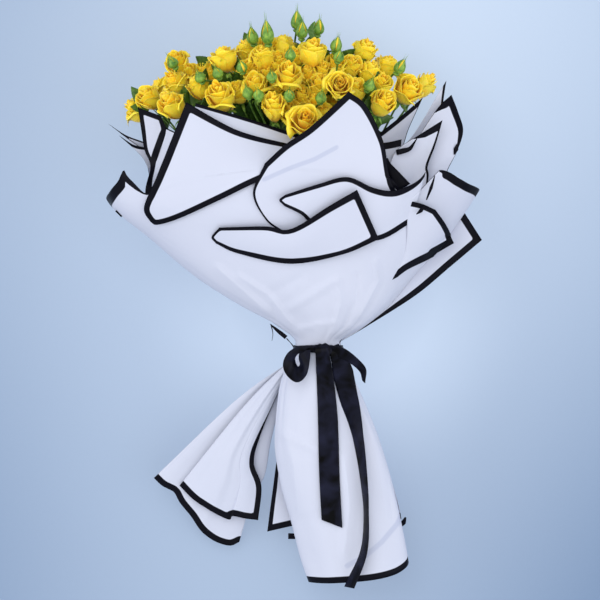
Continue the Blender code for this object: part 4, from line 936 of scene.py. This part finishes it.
def settle(centres, radii, group, rounds=500):
    """Pushes the flowers apart, mostly along Z, until none touches another. Flowers of one
    group keep their places to each other."""
    moved = centres.copy()
    same = (group[:, None] == group[None]).astype(float)
    share = same / same.sum(1, keepdims=True)
    for _ in range(rounds):
        apart = moved[:, None] - moved[None]
        distance = np.linalg.norm(apart, axis=2) + same * 1e6
        overlap = np.maximum(radii[:, None] + radii[None] - distance, 0.0)
        moved = moved + share @ (apart / distance[..., None] * overlap[..., None]).sum(1) * PUSH
    return moved


def turned(points, base, way, turn=0.0):
    """Points about +Z, turned about it by turn, put at base and tilted so that +Z points along
    way."""
    side = unit(np.cross(way, [0.31, 0.17, 0.93]))
    other = np.cross(way, side)
    x = points[..., :1] * math.cos(turn) - points[..., 1:2] * math.sin(turn)
    y = points[..., :1] * math.sin(turn) + points[..., 1:2] * math.cos(turn)
    return base + x * side + y * other + points[..., 2:] * way


def head_height(x, y, rise):
    """Height of the near side of the head over (x, y): an ellipsoid, and rise above it."""
    inside = 1 - ((x - HEAD[0]) / HEAD_RADII[0])**2 - ((y - HEAD[1]) / HEAD_RADII[1])**2
    return HEAD[2] + HEAD_RADII[2] * math.sqrt(max(inside, 0.0)) + rise


# Every flower: node, place, radius of the ball it fills, width, length, tilt, group
heads = []
for number, (x, y, width, length, tilt, rise) in enumerate(BLOOMS):
    heads.append(("bloom_%02d" % (number + 1), (x, y, head_height(x, y, rise)),
                  math.hypot(0.51 * width, 0.28 * length) + 0.7, width, length, tilt, number))
for number, (name, tilt, places) in enumerate(PACKED):
    heads += [(name, place, PACKED_RADIUS, PACKED_WIDTH, PACKED_LENGTH, tilt, 100 + number)
              for place in places]
for number, (x, y, length) in enumerate(BUDS):
    heads.append((None, (x, y, head_height(x, y, 14 + 0.3 * length)), 0.46 * length + 0.8,
                  0.0, length, 0.25, 200 + number))
radii = np.array([head[2] for head in heads])
centres = settle(np.array([head[1] for head in heads]), radii, np.array([head[6] for head in heads]))
for number, (x, y) in MOVED.items():
    centres[number - 1] += [x, y, 0]

# Seeded places on the near side of the head that its flaps leave in sight, and how far each
# is from the nearest flower
SPOTS = 2400
FLAP_X = [-185, -120, -80, -72, -24, -16, 20, 64, 90, 110, 155]
FLAP_TOP = [236, 250, 238, 247, 247, 224, 212, 252, 240, 236, 246]      # upper edge of the flaps there
draw = np.random.default_rng(7)
spots = np.stack([draw.uniform(-185, 155, SPOTS), draw.uniform(195, 318, SPOTS)], 1)
off = np.hypot((spots[:, 0] - HEAD[0]) / HEAD_RADII[0], (spots[:, 1] - HEAD[1]) / HEAD_RADII[1])
spots = spots[(off < 0.90) & (spots[:, 1] > np.interp(spots[:, 0], FLAP_X, FLAP_TOP))]
bare = (np.linalg.norm(spots[:, None] - centres[None, :, :2], axis=2) - 0.85 * radii).min(1)


def barest(cover, rise):
    """The place that is farthest from every flower so far, raised above the head by rise. A
    circle of radius cover about it counts as covered from now on."""
    best = int(np.argmax(bare))
    np.minimum(bare, np.linalg.norm(spots - spots[best], axis=1) - cover, out=bare)
    x, y = spots[best]
    return x, y, head_height(x, y, rise)


further = [barest(13.0, -20.0) for _ in range(GAP_ROSES)] + RIM_ROSES
for place in further:
    node_name = min(PACKED, key=lambda packed: min(math.dist(place, at) for at in packed[2]))[0]
    heads.append((node_name, place, GAP_RADIUS, GAP_SIZE, GAP_SIZE, 0.7, 300))
centres, radii = np.vstack([centres, further]), np.append(radii, [GAP_RADIUS] * len(further))
ways = unit(unit(centres - FOCUS) + np.array([[0, 0, head[5]] for head in heads]))
bases = centres - ways * np.array([[head[4] * 0.5] for head in heads])

roses = {}
for i, (name, _, _, width, length, tilt, _) in enumerate(heads):
    if name:
        openness = 1.1 if tilt > 0.9 else 0.45 + 0.6 * draw.random()
        grids, tone_and_shade = rose((0.74 if tilt > 2 else 0.98) * width, length, openness, draw)
        kept = roses.setdefault(name, ([], []))
        kept[0].extend(turned(grid, bases[i], ways[i], 2.4 * i) for grid in grids)
        kept[1].extend(tone_and_shade)
for name, (grids, tone_and_shade) in roses.items():
    of_grids(name + "_rose", grids, PETAL_FINISH, name, thickness=0.3, marks={"tone_and_shade": tone_and_shade})


# The stems, calyxes, buds and leaves
# Seven sprays are tied at the neck. Each stem forks inside the head into thin branches that
# carry a rose in a green calyx or a bud in closed sepals, with toothed leaflets below.
FORKS = np.array([(-100, 165, 138), (-20, 172, 158), (72, 170, 142), (-78, 168, 74), (8, 160, 58),
                  (86, 172, 76), (-14, 216, 108)], float)
TIE_ANGLES = np.radians([150, 90, 30, 210, 270, 330, 0])
TIE = np.array([TIE_X, NECK_Y, 94.9])       # the middle of the stems inside the tie
STEM_SPACING = 6.4          # six stems stand this far from the seventh, which is in their middle
STEM_RADIUS, BRANCH_RADIUS = 2.5, 1.2
CUT_END = [9, -134, -14]    # from the tie to the cut ends inside the skirt
FORK_STEP = 6.0             # a branch leaves its stem every so far below the fork


def leaf_green():
    """Green of stems and leaves: darker where its tone mark is 0, with slow mottling. The mark
    holds the parts' own greens, darker stems and lighter sepals, and painted shade: the nearly
    black leaves low in front stand in for the shade between the flowers.
    """
    material, surface, tree = shader("rose_green", {"Specular IOR Level": 0.35})
    where = node(tree, "ShaderNodeTexCoord").outputs["Object"]
    green_tone_and_shade = node(tree, "ShaderNodeAttribute", attribute_name="green_tone_and_shade").outputs["Fac"]
    patchy = relief(tree, surface, where, 180.0, 3.0, 0.5, 0.3, 0.0005)
    dark = blend_colours(tree, patchy, (0.014, 0.045, 0.006), (0.06, 0.14, 0.018))
    light = blend_colours(tree, spread(tree, patchy, 0.0, 1.0, 0.3, 0.7), (0.05, 0.17, 0.018),
                          (0.27, 0.45, 0.06))
    tree.links.new(blend_colours(tree, green_tone_and_shade, dark, light), surface.inputs["Base Color"])
    tree.links.new(spread(tree, patchy, 0.52, 0.36), surface.inputs["Roughness"])
    return material


GREEN_FINISH = leaf_green()
ROUND = np.linspace(0, 2 * np.pi, 9)


def piped(path, radius, steps=20):
    """A round stem: a circle carried along a smooth curve through path, in steps steps, and
    closed by a point at either end."""
    at = np.linspace(0, 1, steps)
    line = smooth_line(path, at)
    ahead = unit(np.gradient(line, axis=0))
    least = np.eye(3)[np.argmin(np.abs(ahead).max(0))]      # the axis that it runs along least
    side = unit(np.cross(ahead, least))
    other = np.cross(ahead, side)
    thick = np.full((steps, 1), radius)
    thick = np.vstack([[[0.0]], thick, [[0.0]]])[..., None]
    line, side, other = (np.vstack([part[:1], part, part[-1:]])[:, None] for part in (line, side, other))
    turn = ROUND[None, :, None]
    return line + thick * (side * np.cos(turn) + other * np.sin(turn))


def lathed(out, up):
    """A round form about +Z from its distances to the axis and its heights."""
    out, up = np.asarray(out, float)[:, None], np.asarray(up, float)[:, None]
    return np.stack([out * np.cos(ROUND), out * np.sin(ROUND), up + 0 * ROUND], 2)


def sepal(around, out, up, half_width, thick):
    """A thin closed sepal about +Z: along it out, up and half_width are given; across it the
    section is a flat ellipse that is bent round the axis."""
    turn = np.linspace(0, 2 * np.pi, 11)[None, :]
    out, up, half_width = out[:, None], up[:, None], half_width[:, None]
    angle = around + half_width * np.cos(turn) / np.maximum(out, 1.0)
    fade = np.minimum(half_width / half_width.max() * 2, 1)
    away = out + thick * fade * np.sin(turn)
    return np.stack([away * np.cos(angle), away * np.sin(angle), up + 0 * turn], 2)


def calyx(reach, draw):
    """The hip under a rose, turned about +Z, and its five sepals: each runs out to reach,
    rises by half a sine and hangs by a square, and narrows to its tip."""
    hip = lathed([0, 1.6, 2.7, 2.9, 2.3, 3.0, 0], [-7.4, -6.8, -5.2, -3.8, -2.4, -0.9, -0.5])
    v = np.linspace(0, 1, 9)
    grids = [hip]
    for i in range(5):
        out = 2.2 + (reach - 1.4) * v * (1 + 0.1 * draw.standard_normal())
        up = -1.5 + 1.5 * np.sin(np.pi * v) - (2.5 + 3 * draw.random()) * v**2
        wide = 2.5 * (1 - v)**0.9 * (0.55 + 1.8 * v)
        grids.append(sepal(2 * np.pi * i / 5 + 0.2 * draw.standard_normal(), out, up, wide, 0.35))
    return grids


SMALL_BUD = 19              # a bud shorter than this is shut


def bud(length, draw):
    """A bud: its pointed yellow body, a sine turned about +Z, and five sepals that close over
    it and end in long tips that lean out. Small buds are shut; large ones show the petals
    between the sepals."""
    radius = 5.2 + 0.08 * length
    v = np.linspace(0, 1, 13)
    body = radius * np.sin(np.pi * v**0.72)**0.75 * (1 - 0.3 * v**2)
    heart = lathed(body * 0.95, length * 0.98 * v)
    tall = length * np.linspace(0, 1.12, 13) * (1 + 0.25 * v**4)
    shut = 0.55 if length < SMALL_BUD else 0.95
    over = np.interp(tall, length * v, body, right=0.4)
    grids = [lathed([0, 1.1, 0.55 * radius, 0.66 * radius, 0.3 * radius, 0],
                    [-4.4, -4.0, -2.2, -0.6, 0.5, 0.8])]
    for i in range(5):
        wide = (0.80 * over + 0.5) * (1 - v**1.6)**shut * (1 + 0.08 * draw.standard_normal())
        out = np.maximum(over, 0.5) + 0.35 + (0.3 + 2.4 * draw.random()) * v**5
        grids.append(sepal(2 * np.pi * i / 5 + 0.15 * draw.standard_normal(), out, tall, wide, 0.4))
    return heart, grids


def leaflet(length, steps=31):
    """A leaflet along +Z: a thin closed blade, a sine wide, with a toothed edge, folded along
    its midrib and arched towards -Y by a square."""
    v, turn = np.linspace(0, 1, steps)[:, None], np.linspace(0, 2 * np.pi, 11)[None, :]
    teeth = 1 + 0.12 * (np.mod(11 * v, 1) - 0.5) * (v < 0.97)
    x = 0.30 * length * np.sin(np.pi * v**0.8)**0.85 * teeth * np.cos(turn)
    y = -0.16 * length * v**2 + 0.3 * np.abs(x) + 0.3 * np.sin(turn) * np.sin(np.pi * v)**0.5
    return np.stack([x, y + 0.4 * np.sin(16 * v) * np.abs(np.cos(turn)), length * v + 0 * turn], 2)


END_LEAFLET = 29            # length of the leaflet at a leaf's end
# Of the pairs of leaflets below it: how far below the leaf's tip, length, angle to the stalk
LEAFLETS = [(52, 21, 1.05), (52, 21, -1.05), (34, 25, 0.9), (34, 25, -0.9)]


def leaf(length):
    """A rose leaf along +Z, length long: a thin stalk, with a leaflet at its end and two
    pairs of smaller ones below it that stand out at an angle."""
    stalk = lathed([0, 0.7, 0.6, 0.4, 0], [0, 0.5, 0.6 * length, length - 26, length - 25])
    grids = [stalk, leaflet(END_LEAFLET, 23) + [0, 0, length - END_LEAFLET]]
    for below, size, angle in LEAFLETS:
        blade = leaflet(size, 23)
        x = blade[..., 0] * math.cos(angle) + blade[..., 2] * math.sin(angle)
        z = blade[..., 2] * math.cos(angle) - blade[..., 0] * math.sin(angle)
        grids.append(np.stack([x, blade[..., 1], z + length - below], 2))
    return grids


def bent_clear(points, own, clear=3.8, rounds=160):
    """Pushes the inner points of a path out of every flower but its own, until they are clear
    of it by clear, and evens them out. Then it drops the points that hardly bend the path."""
    path = np.asarray(points, float)
    for _ in range(rounds):
        apart = path[1:-1, None] - centres[None]
        distance = np.linalg.norm(apart, axis=2)
        need = radii + clear - distance
        need[:, own] = 0.0
        path[1:-1] += 0.6 * (apart / distance[..., None] * np.maximum(need, 0.0)[..., None]).sum(1)
        path[1:-1] = 0.96 * path[1:-1] + 0.02 * (path[:-2] + path[2:])
    kept = [0]
    for i in range(1, len(path) - 1):
        ahead = path[i + 1] - path[kept[-1]]
        off = np.cross(ahead, path[i] - path[kept[-1]])
        if np.linalg.norm(off) / np.linalg.norm(ahead) > 1.6 or i == len(path) - 2:
            kept.append(i)
    return path[kept + [len(path) - 1]]


LEAST_ROOM = 8.0            # a leaflet needs this much room on every side


def leaf_way(way, own, path):
    """The way a leaflet turns on its branch: of twelve, the one with most room between the
    flowers, the two sheets and the other sprays' branches. None where there is too little."""
    side = unit(np.cross(way, [0.2, 0.9, 0.4]))
    other = np.cross(way, side)
    best = (LEAST_ROOM, None)
    for turn in np.arange(12) * math.pi / 6:
        out = unit(0.8 * (math.cos(turn) * side + math.sin(turn) * other) + 0.45 * way)
        line = path[-2] + np.outer(np.linspace(6, 30, 7), out)
        room = (np.linalg.norm(line[:, None] - centres[None], axis=2) - radii).min()
        room = min(room, 0.6 * (height_at(FRONT, line[:, 0], line[:, 1]) - line[:, 2]).min())
        room = min(room, 0.6 * (line[:, 2] - height_at(BACK, line[:, 0], line[:, 1])).min())
        for _, spray, stalk in branches:
            if spray != own:
                room = min(room, np.linalg.norm(line[:, None] - stalk[None], axis=2).min())
        if room > best[0]:
            best = (room, out)
    return best[1]


own_fork = np.argmin(np.linalg.norm(centres[:, None] - FORKS[None], axis=2), axis=1)
greens, hearts = [[] for _ in FORKS], [[] for _ in FORKS]
roots = np.zeros_like(centres)
for k, (fork, angle) in enumerate(zip(FORKS, TIE_ANGLES)):
    place = (STEM_SPACING if k < 6 else 0.0) * np.array([math.cos(angle), 0, math.sin(angle)])
    tie = TIE + place
    rise = smooth_line([tie + [0, 12, 0], 0.5 * tie + 0.5 * fork, fork], np.linspace(0, 1, 5))
    stem = np.vstack([tie + 0.4 * place + CUT_END, tie - [0, 9, 0], rise])
    greens[k].append((0.0, piped(stem, STEM_RADIUS, steps=48)))
    back_down = unit(rise[-2] - rise[-1])
    mine = [i for i in np.argsort(-centres[:, 1]) if own_fork[i] == k]
    roots[mine] = fork + np.outer(1.0 + FORK_STEP * np.arange(len(mine)), back_down)

branches = []
for i, (name, _, _, width, length, _, _) in enumerate(heads):
    own, way, base = int(own_fork[i]), ways[i], bases[i]
    if name:
        others = np.arange(len(heads)) != i
        room = (np.linalg.norm(centres - base, axis=1) - radii)[others].min()
        forms, foot = calyx(float(np.clip(room - 1.5, 5.0, 12.5)), draw), base - way * 5.5
    else:
        heart, forms = bud(length, draw)
        hearts[own].append(turned(heart, base, way, 0.9 * i))
        foot = base + way * 1.5
    greens[own] += [(0.9 + 0.1 * (k > 0), turned(form, base, way, 0.9 * i)) for k, form in enumerate(forms)]
    below = way * 14 if name else way * 5 + np.array([0, 0, 34.0])    # a bud's stem comes from below
    path = smooth_line([roots[i], roots[i] + 0.5 * (foot - below - roots[i]), foot - below, foot],
                       np.linspace(0, 1, 9))
    path = bent_clear(path, i)
    greens[own].append((0.35, piped(path, BRANCH_RADIUS)))
    branches.append((way, own, path))
for way, own, path in branches[::3]:
    out = leaf_way(way, own, path)
    if out is not None:
        greens[own].append((0.5, turned(leaflet(30.0), path[-2], out, 0.5)))

# Leaves that fill what gaps are left, in turns near the front of the head and deeper in it,
# others whose tips show at the rim, and dark ones low in front, between the flaps: these are
# nearly black, painted shade for the dark gaps between the flowers.
GAP_LEAVES = 48
SHALLOW, DEEP = -14.0, -34.0                # where their tips stand, above the head's near side
SHORTEST_LEAF = 56
RIM_TIPS = [(-191, 252, 108), (66, 300, 112), (-112, 291, 108), (-129, 246, 140), (22, 316, 104),
            (79, 288, 118), (-57, 317, 104), (97, 273, 132), (109, 239, 140)]
# Tips of the nearly black leaves low in front: painted shade between the flowers.
SHADE_LEAF_TIPS = [(-74, 241, 138), (-66, 236, 144), (-58, 240, 138), (-50, 232, 148), (-42, 239, 140),
             (-36, 228, 150), (-28, 236, 144), (-22, 224, 154), (-14, 231, 150), (-8, 219, 158),
             (-46, 246, 134), (-70, 230, 150)]
tips = [barest(9.0, DEEP if number % 2 else SHALLOW) for number in range(GAP_LEAVES)] + RIM_TIPS
for number, place in enumerate(tips + SHADE_LEAF_TIPS):
    k = int(np.argmin(np.linalg.norm(FORKS - place, axis=1)))
    reach = np.linalg.norm(place - FORKS[k])
    # Gap leaves take a random green, darker than the leaflets on the branches; the leaves low in front are
    # nearly black, painted shade.
    green_tone_and_shade = 0.05 + 0.35 * draw.random() if number < len(tips) else 0.02
    turn = draw.uniform(-0.7, 0.7)
    greens[k] += [(green_tone_and_shade, turned(form, FORKS[k], (place - FORKS[k]) / reach, turn))
                  for form in leaf(max(reach + 8, SHORTEST_LEAF))]
for k in range(len(FORKS)):
    spray = "spray_%d_" % (k + 1)
    green_tone_and_shade = [np.full(grid.shape[:2], value) for value, grid in greens[k]]
    of_grids(spray + "stems", [grid for _, grid in greens[k]], GREEN_FINISH, spray + "green",
             marks={"green_tone_and_shade": green_tone_and_shade})
    if hearts[k]:
        # A bud's heart runs from orange at its foot, inside the sepals, to yellow at its tip.
        tone_and_shade = [np.broadcast_to(np.linspace(0.2, 1, len(grid))[:, None], grid.shape[:2])
                for grid in hearts[k]]
        of_grids(spray + "bud_hearts", hearts[k], PETAL_FINISH, spray + "green",
                 marks={"tone_and_shade": tone_and_shade})


# The twine
# Two strands of natural twine, laid together and bound once round the seven stems inside the
# film, under the ribbon.
STRAND_RADIUS = 0.55
BUNDLE_RADIUS = 10.45       # of the stems, to the middle of the twine
WINDS = 24                  # how many times the strands wind about each other


def twine_finish():
    """Dry plant fibre: beige, with fine oblique strands."""
    material, surface, tree = shader("natural_twine", {})
    where = node(tree, "ShaderNodeTexCoord").outputs["Object"]
    fibres = relief(tree, surface, where, 1200.0, 3.0, 2.0, 0.6, 0.0003)
    tree.links.new(blend_colours(tree, fibres, (0.26, 0.18, 0.08), (0.55, 0.43, 0.25)),
                   surface.inputs["Base Color"])
    tree.links.new(spread(tree, fibres, 0.9, 0.75), surface.inputs["Roughness"])
    return material


def strand(phase):
    """One strand: a round section carried along a circle about the stems, which it winds
    about as a helix of half a strand's width."""
    along, turn = np.linspace(0, 2 * np.pi, 181)[:, None], ROUND[None, :]
    wind = WINDS * along + phase
    out = BUNDLE_RADIUS + STRAND_RADIUS * (np.cos(wind) + np.cos(turn))
    return TIE + np.stack([out * np.cos(along), STRAND_RADIUS * (np.sin(wind) + np.sin(turn)),
                           out * np.sin(along)], 2)


of_grids("twine_strands", [strand(0.0), strand(math.pi)], twine_finish(), "binding_twine")


# The table, the light and the camera
# A pale blue ground that glows, with painted light lightest behind the flowers, wide soft
# light from above the flowers, and a long lens that looks straight down from ten metres. They
# are set out in metres.
BOUQUET = (0, 0, 0.1)       # its middle, which the lamps face
GROUND_REACH = 6.0          # of the ground, from its middle to its sides
CAMERA_PLACE = (0.0063, 0.0013, 10.0)
SEEN_WIDTH = 0.72           # how much of the bouquet's length and width the picture holds
EDGE_HEIGHT = 0.108         # the height at which it holds so much, where the two sheets meet
SENSOR = 36.0


def combined(tree, kind, operation, first, second):
    """A Math or Vector Math node on the socket first and a second value or socket."""
    made = node(tree, kind, operation=operation)
    tree.links.new(first, made.inputs[0])
    if isinstance(second, (float, tuple)):
        made.inputs[1].default_value = second
    else:
        tree.links.new(second, made.inputs[1])
    return made.outputs["Value"]


def pale_ground():
    """A pale blue ground that glows: its colour also drives its emission, which lifts the
    shadows of the bouquet. Painted light makes it lightest behind the flowers: two broad bright
    bands are added, one along the bouquet and one across it, and a round bright spot behind its
    neck that fills the shadow there; far away their sum doesn't fall below an even tone."""
    # The ground glows, though it is no lamp, to lift the shadows under the bouquet.
    material, surface, tree = shader("pale_ground", {
        "Emission Strength": 1.25, "Roughness": 0.9, "Specular IOR Level": 0.2})
    where = node(tree, "ShaderNodeTexCoord").outputs["Object"]
    # Painted light: a round bright spot behind the neck, to fill its shadow.
    painted_light = combined(tree, "ShaderNodeVectorMath", "DISTANCE", where, (0.048, -0.012, 0.0))
    painted_light = spread(tree, painted_light, 0.40, 0.0, 0.0, 0.25, "SMOOTHSTEP")
    # of each band: the direction across it, its middle, how far it reaches, its brightness
    for across, middle, reach, bright in (((1.0, -0.223, 0.0), 0.037, 0.697, 0.55),
                                          ((0.0, 1.0, 0.0), 0.313, 0.833, 0.45)):
        away = combined(tree, "ShaderNodeVectorMath", "DOT_PRODUCT", where, across)
        away = combined(tree, "ShaderNodeMath", "SUBTRACT", away, middle)
        away = combined(tree, "ShaderNodeMath", "ABSOLUTE", away, 0.0)
        band = spread(tree, away, bright, 0.0, 0.0, reach, "SMOOTHSTEP")
        painted_light = combined(tree, "ShaderNodeMath", "ADD", painted_light, band)
    grain = relief(tree, surface, where, 220.0, 2.0, 0.0, 0.02, 0.001)
    painted_light = combined(tree, "ShaderNodeMath", "ADD", painted_light, spread(tree, grain, -0.01, 0.01))
    painted_light = combined(tree, "ShaderNodeMath", "MAXIMUM", painted_light, 0.25)
    # The painted light sets both the ground's colour and its glow.
    colour = blend_colours(tree, painted_light, (0.040, 0.076, 0.145), (0.259, 0.308, 0.383))
    tree.links.new(colour, surface.inputs["Base Color"])
    tree.links.new(colour, surface.inputs["Emission Color"])
    return material


def lamp(name, place, size, power, colour):
    """A square area light at place that faces the bouquet."""
    light = bpy.data.lights.new(name, "AREA")
    light.size = size
    light.energy = power
    light.color = colour
    made = bpy.data.objects.new(name, light)
    made.location = place
    made.rotation_euler = (Vector(BOUQUET) - Vector(place)).to_track_quat("-Z", "Y").to_euler()
    bpy.context.scene.collection.objects.link(made)


mesh = bpy.data.meshes.new("ground")
wide = np.linspace(-GROUND_REACH, GROUND_REACH, 25)
ground = np.stack(np.broadcast_arrays(wide[None], wide[:, None], np.array([[0.0]])), 2)
mesh.from_pydata(ground.reshape(-1, 3).tolist(), [], cells(25, 25).tolist())
mesh.materials.append(pale_ground())
floor = bpy.data.objects.new("ground", mesh)
bpy.context.scene.collection.objects.link(floor)

lamp("key", (-0.9, 1.0, 3.6), size=3.0, power=50, colour=(1.0, 0.99, 0.98))
lamp("fill", (1.6, -1.4, 3.0), size=3.0, power=28, colour=(0.95, 0.97, 1.0))
lamp("left", (-3.0, -0.3, 1.3), size=2.2, power=30, colour=(0.97, 0.98, 1.0))
lamp("right", (3.0, -0.3, 1.3), size=2.2, power=24, colour=(0.97, 0.98, 1.0))
world = bpy.data.worlds.new("studio")
world.use_nodes = True
world.node_tree.nodes["Background"].inputs["Color"].default_value = (0.93, 0.96, 1.0, 1.0)
world.node_tree.nodes["Background"].inputs["Strength"].default_value = 0.80
bpy.context.scene.world = world

bpy.context.scene.view_settings.view_transform = "Standard"

lens = bpy.data.cameras.new("camera")
lens.sensor_width = SENSOR
lens.lens = SENSOR * (CAMERA_PLACE[2] - EDGE_HEIGHT) / SEEN_WIDTH
lens.clip_end = 100.0
camera = bpy.data.objects.new("camera", lens)
camera.location = CAMERA_PLACE
bpy.context.scene.collection.objects.link(camera)
bpy.context.scene.camera = camera
